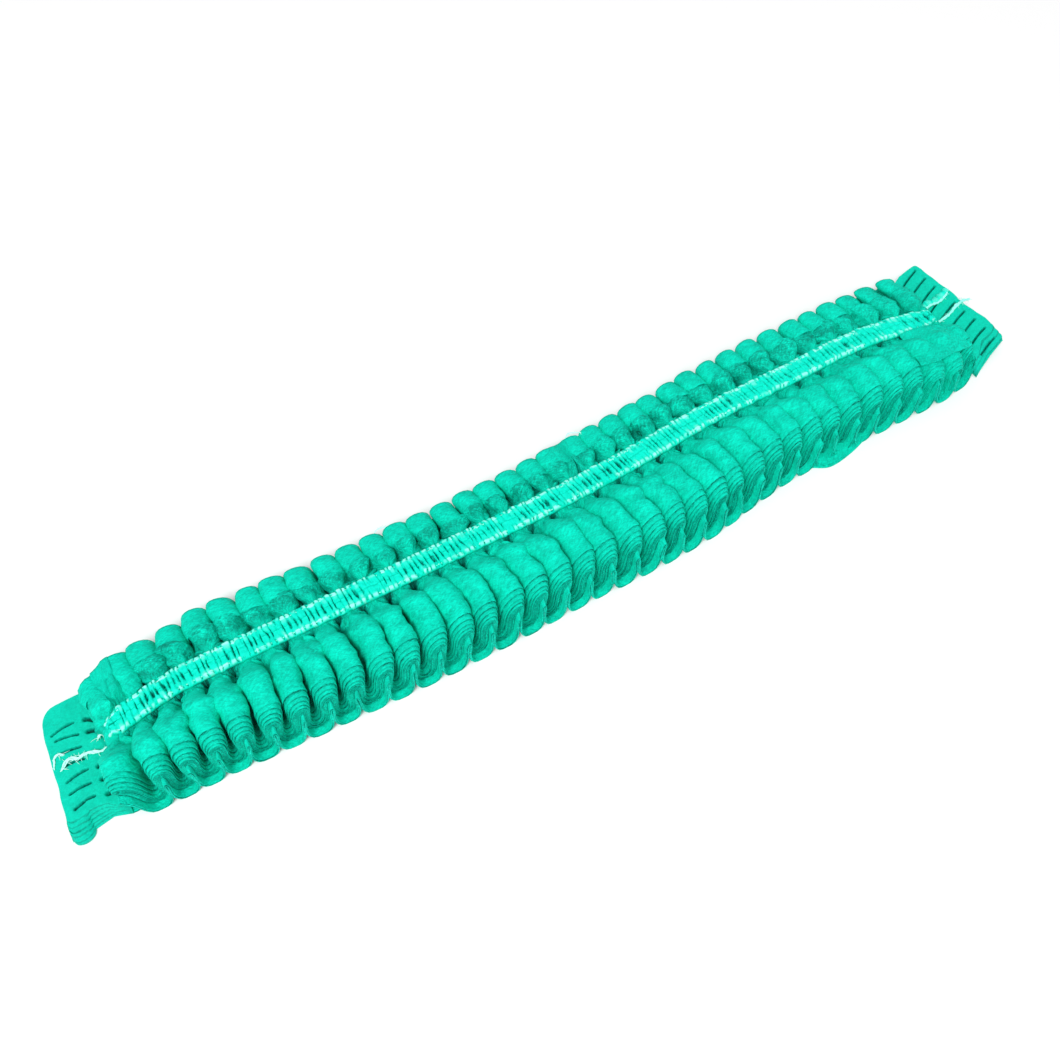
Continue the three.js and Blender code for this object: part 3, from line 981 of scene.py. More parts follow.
    def ruching(self, turn: float, beyond: float, side: float) -> float:
        """Wrinkles that run out from the hems.

        Args:
            turn: Pleats from the left end.
            beyond: Distance from the hem band's edge.
            side: -1 in front of the hems and 1 behind them.

        Returns:
            Height of the cloth over its smooth form.
        """
        near = max(0.0, beyond)
        deep, reach = self.large_behind if side > 0 else self.large_front
        gather, fold = self.gather(turn, beyond, side), self.fold(turn, beyond, side)
        small = abs(math.sin(math.pi * gather)) * math.exp(-near / self.gather_reach)
        swell = near / reach
        large = abs(math.sin(math.pi * fold)) ** 1.5 * swell * math.exp(1 - swell)
        crumple = wander(turn * 5.1, beyond * 420, 2.0 + side)
        crumple += 0.6 * wander(turn * 9.7, beyond * 900, side)
        long = abs(wander(turn * 2.9, beyond * 60, 7.0 + side)) - 0.2
        rough = self.small_height * (small - 0.4) + deep * large + self.crumple_height * crumple
        rough += self.long_height * long * ease(1.2 - beyond / 0.018)
        return max(-self.deepest, rough * ease((beyond + 0.0002) / 0.0008))

    def crease(self, turn: float, beyond: float, side: float) -> float:
        """Shade of the lines between the wrinkles that run out from the hems."""
        near = max(0.0, beyond)
        gather, fold = self.gather(turn, beyond, side), self.fold(turn, beyond, side)
        line = ease(1 - abs(math.sin(math.pi * gather)) / 0.4) * math.exp(-near / self.gather_reach)
        wide = ease(1 - abs(math.sin(math.pi * fold)) / 0.3) * math.exp(-near / 0.008)
        strong = clamp(0.55 + 0.8 * wander(turn * 1.9, side * 4.0))
        return 0.75 * strong * max(line, 0.8 * wide)

    def top_rows(self) -> list[float]:
        """Even places across the top sheet, from its front edge to just under the cuff."""
        front, back = self.edge_of(self.layers - 1) + 0.0002, self.cuff + 0.0006
        count = round((back - front) / self.row_step)
        return [front + (back - front) * i / count for i in range(count + 1)]

    def top_sheet(self) -> bpy.types.Object:
        """The uppermost layer, drawn up to the hems in fine wrinkles."""
        strip = self.strip
        columns = self.sheet_columns * strip.pleats
        places = [strip.place(column / self.sheet_columns) for column in range(columns + 1)]
        level = self.top_rows()
        first = level[0]
        # The sheet's front edge turns under, in painted shade
        rim = [(first + 0.0006, 0.9, 1.0), (first - 0.00012, 0.905, 0.8), (first - 0.00022, 0.96, 0.2)]
        rows = rim + [(across, 1.0, 0.0) for across in level]
        mesh = ClothMesh()

        def corner(column: int, row: int) -> Corner:
            """Corner of the top sheet."""
            turn, place = column / self.sheet_columns, places[column]
            across, share, painted_shade = rows[row]
            sway = 0.0005 * wander(turn * 0.8, 31.0) * ease(1 - (across - first) / 0.004)
            sway -= self.forward(turn, self.layers - 1) * ease(1 - (across - first) / 0.008)
            side, beyond = strip.beside(place, across)
            inwards = ease((across - first) / 0.003)
            # Beside the hems the gathered cloth bridges the valleys, apart from the pits
            gathered = ease(1 - beyond / 0.0030)
            pit = self.pit(turn, beyond, side) * gathered
            fill = gathered * ease(strip.from_end(turn) * 3) * (1 - pit)
            lift = self.fullness(turn, across) * (1 - gathered) + self.radial_fold(turn, across)
            lift += self.ruching(turn, beyond, side) * inwards * (share == 1.0)
            narrow = self.hollow(turn, beyond, side)
            bulge = self.bulge(turn, across) * (1 - 0.9 * narrow) * (1 - fill)
            point = strip.stack(turn, place, across + sway, share, lift, fill, bulge, self.drawn * narrow)
            # Shades inside the cuff, in the hollows, on the flanks and between the wrinkles
            inner = 0.5 * ease(beyond / 0.002) * self.cuffed(turn) * (side > 0)
            away = abs(turn - round(turn))
            dark = narrow * ease(1.5 - 1.5 * away / 0.27) * inwards
            dark *= 1.4 if side < 0 else 0.9
            flank = self.contact(turn) * (1 - fill) * (1 - strip.joined(turn, strip.reach(place, across)))
            crease = self.crease(turn, beyond, side) * inwards
            flat = (turn * self.cloth_a_pleat, across)
            return Corner(point, flat, max(painted_shade, pit, inner, flank, crease, dark))

        mesh.grid(columns, len(rows) - 1, corner)
        bmesh.ops.recalc_face_normals(mesh.bm, faces=mesh.bm.faces)
        return mesh.piece("top_sheet", Finish.CLOTH, "pleated_crown")

    def build(self, hems: Sequence[bpy.types.Object]) -> None:
        stack, sheet = self.folded_layers(), self.top_sheet()


# The hems and their elastics


@dataclass(frozen=True)
class GatheredHem:
    """One narrow hem, drawn up into ridges over its elastic.

    gathers counts its ridges a pleat and slant how many it leans by. half and high are half its width and
    its height in metres, first and last its ends in pleats, and beaded where across it the beads run. sway
    is how far its outer edge wanders, bead_height how far the beads stand up.
    """

    strip: Strip
    side: int
    gathers: float = 4.6
    columns_a_gather: int = 10
    sides: int = 24
    slant: float = 0.12
    half: float = 0.0018
    high: float = 0.0013
    first: float = 0.1
    last: float = 36.85
    beaded: float = 0.6
    sway: float = 0.0003
    bead_height: float = 0.00035
    thread_first: float = 0.2
    thread_last: float = 36.75
    thread_steps: int = 44
    cloth_a_pleat: float = 0.0168

    def gather(self, turn: float, across: float) -> float:
        """Count of gathers along the hem at a place across it, alike on both hems at the middle."""
        uneven = 0.7 * wander(turn * 1.6, 4.0) + 0.3 * wander(turn * 4.3, 1.0)
        uneven += 0.3 * wander(turn * 9.1, 2.0)
        outward = 0.3 * (across + 1) * wander(turn * 2.2, 8.0 + self.side)
        outward += 0.25 * (across + 1) * wander(across * 1.9, turn * 3.1, 3.0 * self.side)
        return self.gathers * turn + uneven + outward + self.slant * self.side * (across + 1)

    def lowered(self, turn: float) -> float:
        """Share of the seat's height, less where the hem curls down over the strip's ends."""
        return 0.5 + 0.5 * ease(self.strip.from_end(turn) / 0.5)

    def plump(self, count: float, spread: float) -> float:
        """How full the ridge at a count of gathers is, about a half."""
        return 0.5 + spread * wander(math.floor(count) * 3.71, self.side * 9.0)

    def hem(self, name: str, node: str) -> bpy.types.Object:
        """The hem's cloth, ridged across by its gathers, with slits along the middle of the band."""
        strip = self.strip
        columns = round((self.last - self.first) * self.gathers * self.columns_a_gather)
        turns = [self.first + (self.last - self.first) * column / columns for column in range(columns + 1)]
        places = [strip.place(turn) for turn in turns]
        mesh = ClothMesh()

        def corner(column: int, row: int) -> Corner:
            """Corner of the hem's skin."""
            turn, place = turns[column], places[column]
            angle = TURN * row / self.sides
            across, up = math.cos(angle), math.sin(angle)
            count = self.gather(turn, across)
            number = math.floor(count)
            ridge = abs(math.sin(math.pi * count))
            full = clamp(self.plump(count, 0.9))
            # The notches between the ridges are deepest in the slits and along the beads
            notch = ease(1 - ridge / (0.8 - 0.3 * ease((across + 0.3) / 0.6)))
            reach = -0.12 + 0.45 * wander(number * 1.93, 5.0 + self.side)
            inner = ease((reach - across) / 0.3)
            slit = inner * ease(0.72 + 1.7 * wander(number * 2.31, 1.5))
            edge = ease(1.25 - abs(across - self.beaded) / 0.32)
            deep = notch * max(slit, 0.28 * (1 - inner), 0.85 * edge)
            # The band narrows at its ends, and its ridges stand up and out
            end = ease(min(turn - self.first, self.last - turn) / 0.9)
            half = self.half * (0.4 + 0.6 * end) * (1 + 0.07 * edge * (ridge + full - 1))
            offset = self.half * (0.6 + 0.4 * end) + half * across
            offset -= self.sway * ease((across + 0.6) / 1.4) * wander(turn * 3.3, 6.0, self.side)
            tall = self.high * (1 - 0.9 * deep) + self.bead_height * edge * ridge * full
            tall += 0.0007 * wander(number * 1.3, 0.5) + 0.00035 * wander(count * 2.9, across * 2.5)
            dome = 1.0 if across < 0 and up > 0.1 else max(0.0, up) ** 0.5
            height = (strip.seat + 0.0002) * self.lowered(turn) + (tall * dome if up > 0 else 0.0001 * up)
            point = strip.point(place, 0.0, place.hem + self.side * offset, height)
            # Light catches the fullest ridges and the beads, and the notches lie dark
            ridge_highlight = 0.5 * ease(full * 2.4 - 1.0) * ease(ridge * 2.4 - 1.3) * ease((across + 0.6) / 0.8)
            ridge_highlight *= ease(0.7 + wander(across * 2, number))
            dark = ease(deep * 1.9 - 0.2) * (1 - 0.75 * ease((across - 0.1) / 0.5))
            bead = edge * ease(ridge * 2.2 - 1.0) * ease(full * 2.2 - 0.35)
            flat = (turn * self.cloth_a_pleat + self.side * 3, row * 0.0004)
            return Corner(point, flat, dark, max(ridge_highlight, bead))

        mesh.grid(columns, self.sides, corner)
        mesh.close()
        return mesh.piece(name, Finish.HEM, node, crisp=75.0)

    def elastic(self, name: str, node: str) -> bpy.types.Object:
        """The elastic thread along the hem's outer edge, which shows as a row of pale beads."""
        strip, steps = self.strip, self.thread_steps
        line = self.half * 1.4
        route, radii = [], []
        for i in range(round(self.thread_first * steps), round(self.thread_last * steps)):
            turn = i / steps
            place = strip.place(turn)
            count = self.gather(turn, self.beaded)
            ridge = abs(math.sin(math.pi * count))
            full = self.plump(count, 0.5)
            end = ease(min(turn - self.thread_first, self.thread_last - turn) / 0.9)
            height = (strip.seat + 0.0008) * self.lowered(turn) + 0.0004 * ridge * full
            aside = line * (0.7 + 0.3 * end) - self.sway * wander(turn * 3.3, 6.0, self.side)
            route.append(strip.point(place, 0.0, place.hem + self.side * aside, height))
            radii.append(strip.thread / 2 * (0.4 + (0.3 + 0.5 * full) * ease(ridge * 1.4 - 0.3)))
        mesh = ClothMesh()
        mesh.tube(route, radii, 8)
        mesh.close()
        return mesh.piece(name, Finish.ELASTIC, node, crisp=180.0)


# The end tabs


class Bar(NamedTuple):
    """A pressed weld bar on a tab.

    inner and outer are shares of the way across at its two ends, start and end shares of the way out.
    """

    inner: float
    outer: float
    start: float
    end: float

    @property
    def short(self) -> bool:
        """Whether it is one of the short, deep ones."""
        return self.end - self.start < 0.25


# Weld bars of the left tab: a row of long ones, and short deep ones beside the first pleat.
LEFT_BARS = (
    Bar(0.307, 0.286, 0.45, 0.865),
    Bar(0.202, 0.234, 0.43, 0.825),
    Bar(0.105, 0.120, 0.45, 0.82),
    Bar(0.010, 0.020, 0.46, 0.82),
    Bar(-0.077, -0.098, 0.46, 0.842),
    Bar(-0.183, -0.190, 0.47, 0.834),
    Bar(-0.283, -0.293, 0.48, 0.832),
    Bar(0.225, 0.290, 0.02, 0.225),
    Bar(0.155, 0.190, 0.02, 0.235),
    Bar(-0.108, -0.092, 0.02, 0.255),
    Bar(-0.202, -0.194, 0.02, 0.255),
    Bar(-0.325, -0.312, 0.02, 0.245),
)

# Weld bars of the right tab, in one even row from its back corner.
RIGHT_BARS = tuple(
    Bar(0.472 - 0.1186 * bar, 0.491 - 0.1175 * bar, 0.1 + 0.036 * bar, 0.9) for bar in range(9)
)


@dataclass(frozen=True)
class EndTab:
    """An end tab: the stacked layers welded flat by bars, its near edge stepped layer by layer.

    length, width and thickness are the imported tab's, in metres, as are corner, roll and the grooves. reach,
    slant, tilt and tuck are shares of its length, shift and bow shares of its width, and arch counts
    thicknesses. taper is how much shorter it gets from front to back, steps how many layers its near edge
    shows, terraces how wide they are together at the pleats, and riser the share of a step that rises. wave
    is how far its outline wanders, swell how uneven its face is and puff how far it puffs up.
    """

    strip: Strip
    side: int
    bars: tuple[Bar, ...]
    reach: float
    shift: float
    slant: float
    taper: float
    corner: float
    tilt: float
    arch: float
    roll: float
    steps: int
    tuck: float
    sides_at: tuple[tuple[float, float, float], ...]
    outer: tuple[tuple[float, float], ...]
    length: float = 0.0116
    width: float = 0.036
    thickness: float = 0.002
    step_shade: float = 0.5
    terraces: float = 0.003
    riser: float = 0.45
    wave: float = 0.0005
    swell: float = 0.00022
    puff: float = 0.00025
    groove: float = 0.0010
    groove_half: float = 0.0004
    bow: float = 0.006
    columns: int = 70
    rows: int = 170

    def spread(self, out: float, across: float) -> tuple[float, float]:
        """Shares of the tab's length and width for even shares of its real outline."""
        near, far = between(self.sides_at, out)
        size = self.length * self.reach
        beyond = max(0.0, (across - 0.5) * self.width + self.corner)
        cut = (self.corner - math.sqrt(max(0.0, self.corner**2 - beyond**2))) / size
        inner = self.tuck * ease((across - 0.3) / 0.15)
        edge = between(self.outer, across)[0] - cut
        return -inner + (edge + inner) * out, near + (across + 0.5) * (far - near)

    def point(self, out: float, across: float, share: float, lift: float = 0.0) -> Vector:
        """Point of the tab.

        Args:
            out: Share of the way out from the pleats.
            across: Share of the width from its middle, back positive.
            share: Share of the thickness.
            lift: Height over that.

        Returns:
            The point, in the cap's frame.
        """
        strip = self.strip
        place = strip.place(0.0 if self.side < 0 else strip.pleats)
        length = self.reach * self.length * (1 - self.taper * across)
        on = strip.clearance * (2 * out - 1) + length * out
        aside = self.width * (across + self.shift) + self.slant * self.length * out
        arched = self.arch * (1 - 4 * across**2)
        raised = (max(0.0, self.tilt) * self.length + arched * self.thickness) * out
        dip = min(0.0, self.tilt) * self.length * out**2
        height = raised + share * (self.thickness + dip * (share > 0.5)) + lift
        return strip.point(place, self.side * on, aside, max(0.0, height))

    def pressed(self, out: float, across: float) -> tuple[float, float]:
        """Depth of the weld bars under the puffed surface, and the shade painted in their grooves."""
        deep = 0.0
        for bar in self.bars:
            share = clamp((out - bar.start) / (bar.end - bar.start))
            middle = bar.inner + (bar.outer - bar.inner) * share + self.bow * math.sin(math.pi * share)
            aside = (across - middle) * self.width
            beyond = (out - (bar.start + (bar.end - bar.start) * share)) * self.length
            half = self.groove_half * (2.0 if bar.short else 1.0 + 0.2 * wander(middle * 40, out * 4))
            away = math.hypot(aside, beyond) / half
            deep = max(deep, (1.2 if bar.short else 1.0) * ease(1.15 - away))
        return deep * self.groove, deep

    def terrace(self, out: float, across: float) -> tuple[float, float]:
        """Share of the thickness left by the layers that end short of the near edge, and their shade."""
        depth = (self.terraces + self.terraces * ease(out)) / self.width
        depth *= 1 + 0.3 * wander(out * 3.0, 2.0 * self.side)
        at = (across + 0.5) / depth * self.steps + 0.35 * wander(out * 6.0, across * 40, 3.0)
        if at >= self.steps:
            return 1.0, 0.0
        step = max(0, math.floor(at))
        climbed = max(0.0, at - step) / self.riser
        share = (step + ease(climbed)) / self.steps
        shade = self.step_shade * ease(1.4 - 1.4 * abs(2 * climbed - 1)) if climbed < 1 else 0.0
        return 0.15 + 0.85 * share, shade

    def rolled(self, out: float, across: float) -> float:
        """How far the rolled near corner stands out from the near edge."""
        round_off = max(0.0, 1 - ((out - 0.81) / 0.185) ** 2) ** 0.5
        return self.roll * round_off * ease((-0.2 - across) / 0.3)

    def build(self, name: str, node: str, loose: Sequence[bpy.types.Object]) -> bpy.types.Object:
        """Makes the tab; the loose ends that lie on it are passed in but not used.

        Its rounded rim is given as metres out from the edge and shares of the thickness.
        """
        rim = ((0.00012, 0.88), (0.00022, 0.55), (0.0002, 0.25), (0.0, 0.0))
        rows, columns = self.rows, self.columns
        mesh = ClothMesh()

        def corner(column: int, row: int) -> Corner:
            """Corner of the tab's skin, whose outer columns and rows are its rim."""
            out, across = clamp(column / columns), clamp(row / rows) - 0.5
            over = max(column - columns, row - rows, -row, 0)
            proud, share = rim[over - 1] if over else (0.0, 1.0)
            if column < 0:
                share = 0.0
            left, shade = self.terrace(out, across)
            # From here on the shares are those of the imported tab
            out, across = self.spread(out, across)
            deep, dark = self.pressed(out, across)
            near = self.rolled(out, across)
            wave = self.wave * wander(across * 6, self.side * 5.0) * max(0.0, out)
            swell = self.swell * wander(out * 4, across * 11, self.side)
            swell += self.puff * math.sin(math.pi * out)
            lift = (swell - deep + 0.5 * near * ease(near / 0.002)) * share
            point = self.point(out, across, share * left, lift)
            ahead = (self.point(1.0, across, 0.0) - self.point(0.9, across, 0.0)).normalized()
            point += ahead * ((proud if column > columns else 0.0) + wave)
            point.y += (proud if row > rows else 0.0) - (proud if row < 0 else 0.0) - near
            # Shade painted in the weld grooves, on the steps, on the rim's underside and where the pleats
            # overhang the tab
            shadow_by_pleats = 0.35 * ease(1 - out / 0.12)
            return Corner(point, (point.x, point.y), max(dark, shade, 0.25 * (1 - share), shadow_by_pleats))

        grid_rows = rows + 2 * len(rim)
        mesh.grid(columns + len(rim) + 1, grid_rows, lambda column, row: corner(column - 1, row - len(rim)))
        mesh.close()
        made = mesh.piece(name, Finish.WELDED, node)
        near, far = between(self.sides_at, 0.5)
        edge = between(self.outer, 0.0)[0] + 0.3 * self.tuck
        cut = (self.width * (far - near), self.length * self.reach * edge)
        return made


# Left tab: where its near and far edges run, by share of the way out, and where its outer edge runs.
LEFT_SIDES = ((0.0, -0.5, 0.5), (0.3, -0.46, 0.5), (0.6, -0.485, 0.5), (1.0, -0.5, 0.5))
LEFT_OUTER = ((-0.5, 1.0), (0.5, 1.0))

# The same for the right tab.
RIGHT_SIDES = ((0.0, -0.58, 0.552), (0.16, -0.561, 0.558), (0.57, -0.526, 0.571), (1.0, -0.506, 0.54))
RIGHT_OUTER = (
    (-0.5, 1.02), (-0.46, 1.09), (-0.23, 1.07), (0.0, 1.035), (0.15, 1.07), (0.28, 1.045), (0.42, 1.05),
    (0.5, 1.0),
)


# Loose cloth and ends


@dataclass(frozen=True)
class LooseCloth:
    """A thin loose piece of cloth between two edges, each a smooth curve through a few points."""

    upper: tuple[tuple[float, float, float], ...]
    lower: tuple[tuple[float, float, float], ...]
    plies: int = 1
    inset: float = 0.0
    thickness: float = 0.0004
    crumple: float = 0.0003
    columns: int = 60
    rows: int = 30

    def build(self, name: str, node: str, flat: tuple[float, float], held: str) -> bpy.types.Object:
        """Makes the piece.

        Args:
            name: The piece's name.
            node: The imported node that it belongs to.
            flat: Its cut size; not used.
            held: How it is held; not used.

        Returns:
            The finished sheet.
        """
        upper, lower = [Vector(row) for row in self.upper], [Vector(row) for row in self.lower]
        top = [(i / self.rows, 1.0) for i in range(self.rows + 1)]
        under = [(1 - i / self.rows, 0.0) for i in range(self.rows + 1)]
        loop = [*top, (1.012, 0.5), *under, (-0.012, 0.5), top[0]]
        mesh = ClothMesh()

        def corner(column: int, row: int, ply: int) -> Corner:
            """Corner of one ply's skin."""
            along = column / self.columns
            back, front = curve_at(upper, along)[0], curve_at(lower, along)[0]
            across, side = loop[row]
            edge = (front - back).normalized() * self.inset * ply * ease(across)
            point = back.lerp(front, across) - edge
            swell = wander(point.x * 260, point.y * 260, 3.0)
            swell += 0.5 * wander(point.x * 700, point.y * 500, 9.0)
            point.z += self.crumple * swell * (1 if self.plies == 1 else 0.3)
            point.z = max(point.z, 0.00003) + self.thickness * (side + 1.05 * ply)
            # Painted shade on the underside and its edges
            return Corner(point, (point.x, point.y), 0.5 * (1 - side))

        for ply in range(self.plies):
            mesh.grid(self.columns, len(loop) - 1, lambda column, row, ply=ply: corner(column, row, ply))
        mesh.close()
        made = mesh.piece(name, Finish.CLOTH, node)
        return made


@dataclass(frozen=True)
class LooseEnd:
    """A loose end of a hem or its elastic, with fine fibres standing off it.

    radius is a strand's, in metres, ripple how far it rises and falls, bead the length of one bead along it
    and highlight how bright the painted highlights on the beads are.
    """

    route: tuple[Vector, ...]
    radius: float
    strands: int = 1
    fibres: int = 0
    ripple: float = 0.0
    bead: float = 0.0017
    white: float = 0.6
    seed: int = 1
    step: float = 0.00025
    wavelength: float = 0.0042
    fibre_radii: tuple[float, ...] = (0.00008, 0.00008, 0.00007, 0.00006, 0.00004)

    def strand(self, number: int) -> tuple[list[Vector], list[float], list[tuple[float, float]]]:
        """Route, radii and shades of one strand, which wanders off the middle line."""
        length = sum((b - a).length for a, b in zip(self.route, self.route[1:]))
        steps = max(12, round(length / self.step))
        route, radii, shades = [], [], []
        for i in range(steps + 1):
            share = i / steps
            here, slope = curve_at(self.route, share)
            aside = Vector((-slope.y, slope.x, 0.0)).normalized()
            away = self.seed * 3.1 + number * 7.7
            stray = wander(share * 5, away) * (0.0 if self.strands == 1 else 2.4)
            height = self.ripple * (0.5 + 0.5 * math.sin(TURN * share * length / self.wavelength + number))
            bead = 0.5 + 0.5 * abs(math.sin(math.pi * share * length / self.bead + number))
            route.append(here + aside * self.radius * stray + Vector((0.0, 0.0, height)))
            taper = ease(0.35 + 4 * min(share, 1 - share))
            radii.append(self.radius * taper * (0.7 * bead + 0.3 + 0.5 * wander(share * 31, away)))
            # Painted shade between the beads and painted highlight on them
            shades.append((0.6 * ease(1.6 - 2.2 * bead), self.white * ease(2.6 * bead - 1.5)))
        return route, radii, shades

    def build(self, name: str, finish: Finish, node: str) -> bpy.types.Object:
        """Makes the end with its strands and fibres."""
        chance = random.Random(self.seed)
        mesh = ClothMesh()
        for number in range(self.strands):
            route, radii, shades = self.strand(number)
            mesh.tube(route, radii, 10, shades)
        for _ in range(self.fibres):
            start = curve_at(self.route, chance.random() ** 0.7)[0]
            out = Vector((chance.uniform(-1, 1), chance.uniform(-1, 1), chance.uniform(0.1, 0.5)))
            out.normalize()
            turn = Vector((chance.uniform(-1, 1), chance.uniform(-1, 1), -0.6))
            long = chance.uniform(0.0006, 0.0016)
            line = [start + out * long * s + turn * long * 0.7 * s * s for s in (0.0, 0.25, 0.5, 0.75, 1.0)]
            mesh.tube(line, self.fibre_radii, 5)
        mesh.close()
        return mesh.piece(name, finish, node, crisp=180.0)


# The loose flap over the right end: its edge towards the hems and its front edge.
FLAP_UPPER = (
    (0.1204, 0.0036, 0.0083), (0.1254, 0.0026, 0.0096), (0.1297, 0.0006, 0.0106),
    (0.1316, -0.0031, 0.0120), (0.1326, -0.0080, 0.0131), (0.1337, -0.0124, 0.0126),
)
FLAP_LOWER = (
    (0.1155, -0.0109, 0.0122), (0.1173, -0.0123, 0.0137), (0.1203, -0.0131, 0.0144),
    (0.1248, -0.0129, 0.0142), (0.1292, -0.0129, 0.0135), (0.1334, -0.0125, 0.0124),
)

# A layer that shows in front of the pleats, on the surface: its hidden edge and its front edge.
STRAY_BACK = (
    (0.0725, -0.0155, 0.0), (0.0780, -0.0158, 0.0), (0.0840, -0.0150, 0.0), (0.0945, -0.0130, 0.0),
)
STRAY_FRONT = (
    (0.0722, -0.0190, 0.0), (0.0775, -0.0214, 0.0), (0.0860, -0.0204, 0.0), (0.0945, -0.0178, 0.0),
)

# Fine fibres that stand off two of the back lobes: the middle line of each tuft, and its random seed.
LOOSE_FIBRES = {
    "left": (11, (
        (-0.0506, 0.0200, 0.0080), (-0.0490, 0.0206, 0.0083), (-0.0468, 0.0198, 0.0085),
        (-0.0434, 0.0181, 0.0080),
    )),
    "right": (12, (
        (0.0115, 0.0215, 0.0080), (0.0132, 0.0222, 0.0084), (0.0155, 0.0212, 0.0085),
        (0.0191, 0.0198, 0.0080),
    )),
}


def on_tab(tab: EndTab, *places: tuple[float, float, float]) -> tuple[Vector, ...]:
    """Points on a tab, each from its shares of the length and width and its height over the cloth."""
    return tuple(tab.point(out, across, 1.0, lift) for out, across, lift in places)


def loose_ends_left(tab: EndTab) -> list[bpy.types.Object]:
    """The frayed elastic ends over the left tab."""
    main = on_tab(tab, (-0.12, -0.01, 0.0022), (0.13, -0.004, 0.0008), (0.35, 0.03, 0.0007),
                  (0.52, 0.02, 0.0007), (0.675, 0.045, 0.0006), (0.888, -0.004, 0.0004))
    short = on_tab(tab, (0.74, 0.10, 0.0004), (0.86, 0.12, 0.0004), (0.95, 0.09, 0.0004),
                   (0.985, 0.03, 0.0002))
    tuft = on_tab(tab, (0.0, 0.10, 0.0012), (0.06, 0.11, 0.0010), (0.12, 0.09, 0.0006))
    main_end = LooseEnd(main, 0.00024, strands=3, fibres=40, ripple=0.0003, bead=0.0025, seed=3)
    stub = LooseEnd(short, 0.0002, strands=2, fibres=10, seed=8)
    frayed = LooseEnd(tuft, 0.00022, strands=2, fibres=14, seed=5)
    return [
        main_end.build("elastic_end_left", Finish.FRAYED, "elastic_front"),
        stub.build("elastic_stub_left", Finish.FRAYED, "elastic_back"),
        frayed.build("elastic_tuft_left", Finish.FRAYED, "elastic_back"),
    ]


def loose_fibres() -> list[bpy.types.Object]:
    """Fine fibres that stand off two of the back lobes."""
    made = []
    for word, (seed, route) in LOOSE_FIBRES.items():
        tuft = LooseEnd(tuple(Vector(point) for point in route), 0.00011, strands=4, fibres=8, seed=seed)
        made.append(tuft.build(f"loose_fibres_{word}", Finish.FRAYED, "pleated_crown"))
    return made


def loose_ends_right(tab: EndTab) -> list[bpy.types.Object]:
    """The hem's end and the beaded elastic ends over the right tab."""
    ridge = on_tab(tab, (-0.12, 0.10, 0.0014), (0.06, 0.165, 0.0008), (0.22, 0.20, 0.0006),
                   (0.40, 0.17, 0.0009), (0.58, 0.15, 0.0005), (0.80, 0.15, 0.0007), (1.02, 0.16, 0.0003))
    far = on_tab(tab, (-0.067, 0.131, 0.0016), (0.2, 0.165, 0.0015), (0.5, 0.125, 0.0013),
                 (0.8, 0.12, 0.0010), (1.02, 0.142, 0.0008))
    near = on_tab(tab, (-0.154, -0.023, 0.0014), (0.15, 0.0, 0.0007), (0.5, -0.015, 0.0006),
                  (0.86, -0.009, 0.0006), (1.03, -0.02, 0.0007), (1.197, -0.06, 0.0006))
    hem_end = LooseEnd(ridge, 0.0013, ripple=0.0004, bead=0.0026, white=0.2, seed=2)
    far_end = LooseEnd(far, 0.00042, fibres=8, ripple=0.0002, bead=0.0012, seed=4)
    near_end = LooseEnd(near, 0.00036, strands=2, fibres=26, ripple=0.0001, bead=0.0012, seed=6)
    return [
        hem_end.build("hem_end_right", Finish.HEM, "hem_back"),
        far_end.build("elastic_far_right", Finish.ELASTIC, "elastic_back"),
        near_end.build("elastic_near_right", Finish.ELASTIC, "elastic_front"),
    ]


# The studio


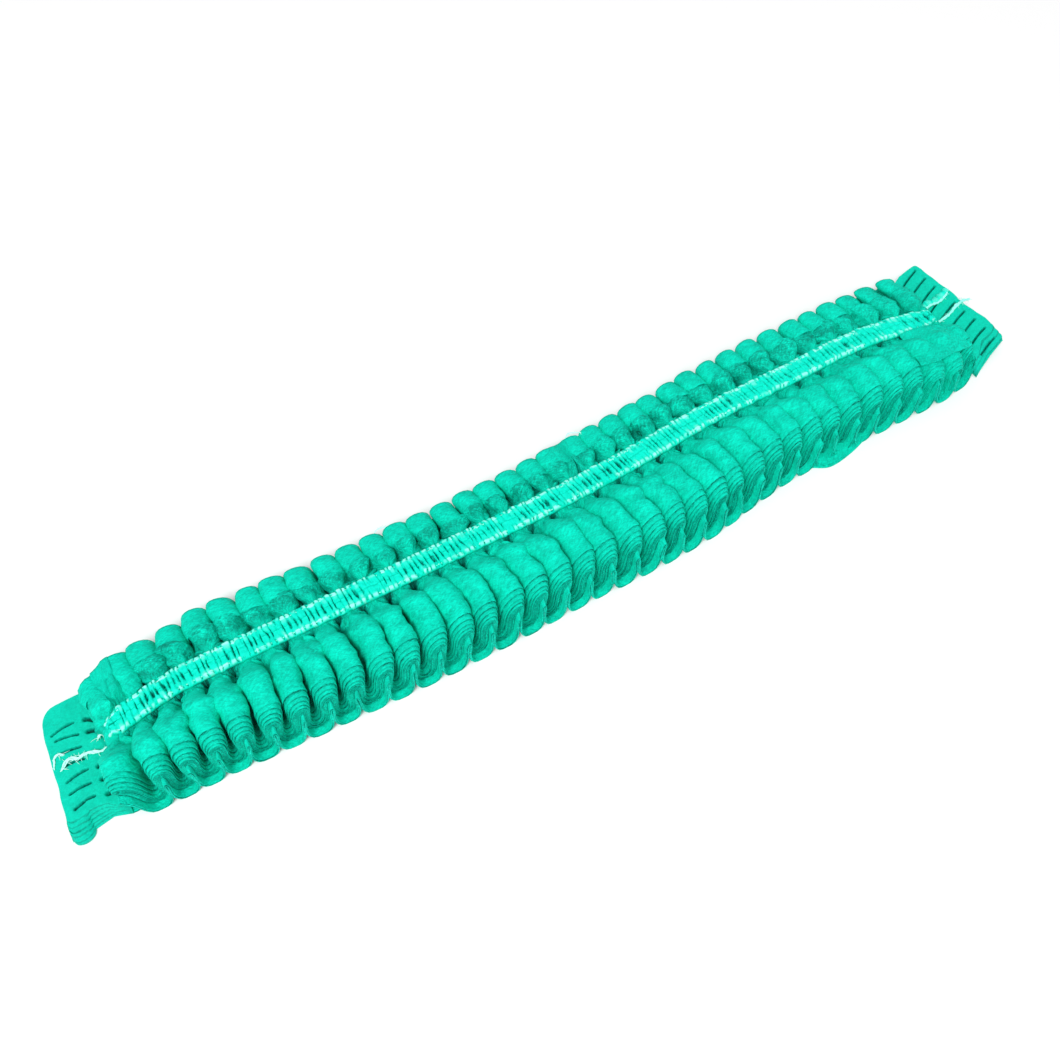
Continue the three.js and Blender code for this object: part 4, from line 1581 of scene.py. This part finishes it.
@dataclass(frozen=True)
class Studio:
    """Floor, soft light and the camera at the photograph's angle."""

    eye: tuple[float, float, float] = (-0.089065, -0.134347, 0.269921)
    azimuth: float = -29.7
    elevation: float = 59.5
    lens: float = 37.36
    sensor: float = 36.0
    floor_half: float = 3.0
    sky: float = 0.6

    def camera(self) -> None:
        """Puts up the camera."""
        data = bpy.data.cameras.new("photo_camera")
        data.sensor_width = self.sensor
        data.lens = self.lens
        data.clip_start, data.clip_end = 0.01, 20.0
        made = placed("photo_camera", data)
        azimuth, elevation = math.radians(self.azimuth), math.radians(self.elevation)
        back = Vector((math.sin(azimuth) * math.cos(elevation),
                       -math.cos(azimuth) * math.cos(elevation), math.sin(elevation)))
        right = Vector((math.cos(azimuth), math.sin(azimuth), 0.0))
        turned = Matrix((right, back.cross(right), back)).transposed().to_4x4()
        made.matrix_world = Matrix.Translation(self.eye) @ turned
        bpy.context.scene.camera = made

    def floor(self) -> None:
        """Lays the pale floor."""
        bm = bmesh.new()
        bmesh.ops.create_grid(bm, x_segments=1, y_segments=1, size=self.floor_half)
        mesh = bpy.data.meshes.new("studio_floor")
        bm.to_mesh(mesh)
        bm.free()
        mesh.materials.append(FloorFinish().material())
        made = placed("studio_floor", mesh)
        made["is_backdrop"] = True

    def lamp(self, name: str, place: Vector, size: float, watts: float) -> None:
        """Hangs one soft square lamp that shines at the cap."""
        data = bpy.data.lights.new(name, "AREA")
        data.size = size
        data.energy = watts
        turned = (-place).to_track_quat("-Z", "Y").to_matrix().to_4x4()
        placed(name, data).matrix_world = Matrix.Translation(place) @ turned

    def build(self) -> None:
        """Sets up the whole studio."""
        self.camera()
        self.floor()
        self.lamp("key_light", Vector((-0.6, -0.5, 1.1)), 0.5, 13.0)
        self.lamp("fill_light", Vector((0.9, -0.6, 0.9)), 1.0, 3.0)
        world = bpy.data.worlds.new("studio_world")
        world.use_nodes = True
        light = world.node_tree.nodes["Background"].inputs
        light["Color"].default_value = (1.0, 1.0, 1.0, 1.0)
        light["Strength"].default_value = self.sky
        bpy.context.scene.world = world
        bpy.context.scene.view_settings.view_transform = "Standard"


def main() -> None:
    """Builds the cap piece by piece."""
    logging.basicConfig(level=logging.INFO, format="%(name)s: %(message)s")
    Studio().build()
    strip = Strip()
    hems = []
    for side, word in ((-1, "front"), (1, "back")):
        hem = GatheredHem(strip, side)
        hems.append(hem.hem(f"gathered_hem_{word}", f"hem_{word}"))
        hems.append(hem.elastic(f"elastic_thread_{word}", f"elastic_{word}"))
    PleatedCrown(strip).build(hems + loose_fibres())
    left = EndTab(
        strip, side=-1, bars=LEFT_BARS, reach=1.18, shift=-0.03, slant=0.0, taper=0.11, corner=0.0046,
        tilt=-0.08, arch=0.25, roll=0.0022, steps=5, tuck=0.0, sides_at=LEFT_SIDES, outer=LEFT_OUTER)
    right = EndTab(
        strip, side=1, bars=RIGHT_BARS, reach=0.93, shift=0.04, slant=0.24, taper=0.4, corner=0.0012,
        tilt=0.3, arch=0.0, roll=0.0, steps=3, tuck=0.3, sides_at=RIGHT_SIDES, outer=RIGHT_OUTER)
    left.build("welded_tab_left", "tab_left", loose_ends_left(left))
    right.build("welded_tab_right", "tab_right", loose_ends_right(right))
    LooseCloth(FLAP_UPPER, FLAP_LOWER).build("end_flap", "pleated_crown", (0.020, 0.0115), "draped")
    LooseCloth(STRAY_BACK, STRAY_FRONT, plies=2, inset=0.0007, thickness=0.0003).build(
        "stray_layer", "pleated_crown", (0.024, 0.0115), "folded")
    boxes = {"cad": CAD_BOX, "visual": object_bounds()}
    {name: [list(corner) for corner in box] for name, box in boxes.items()}


if __name__ == "__main__":
    main()
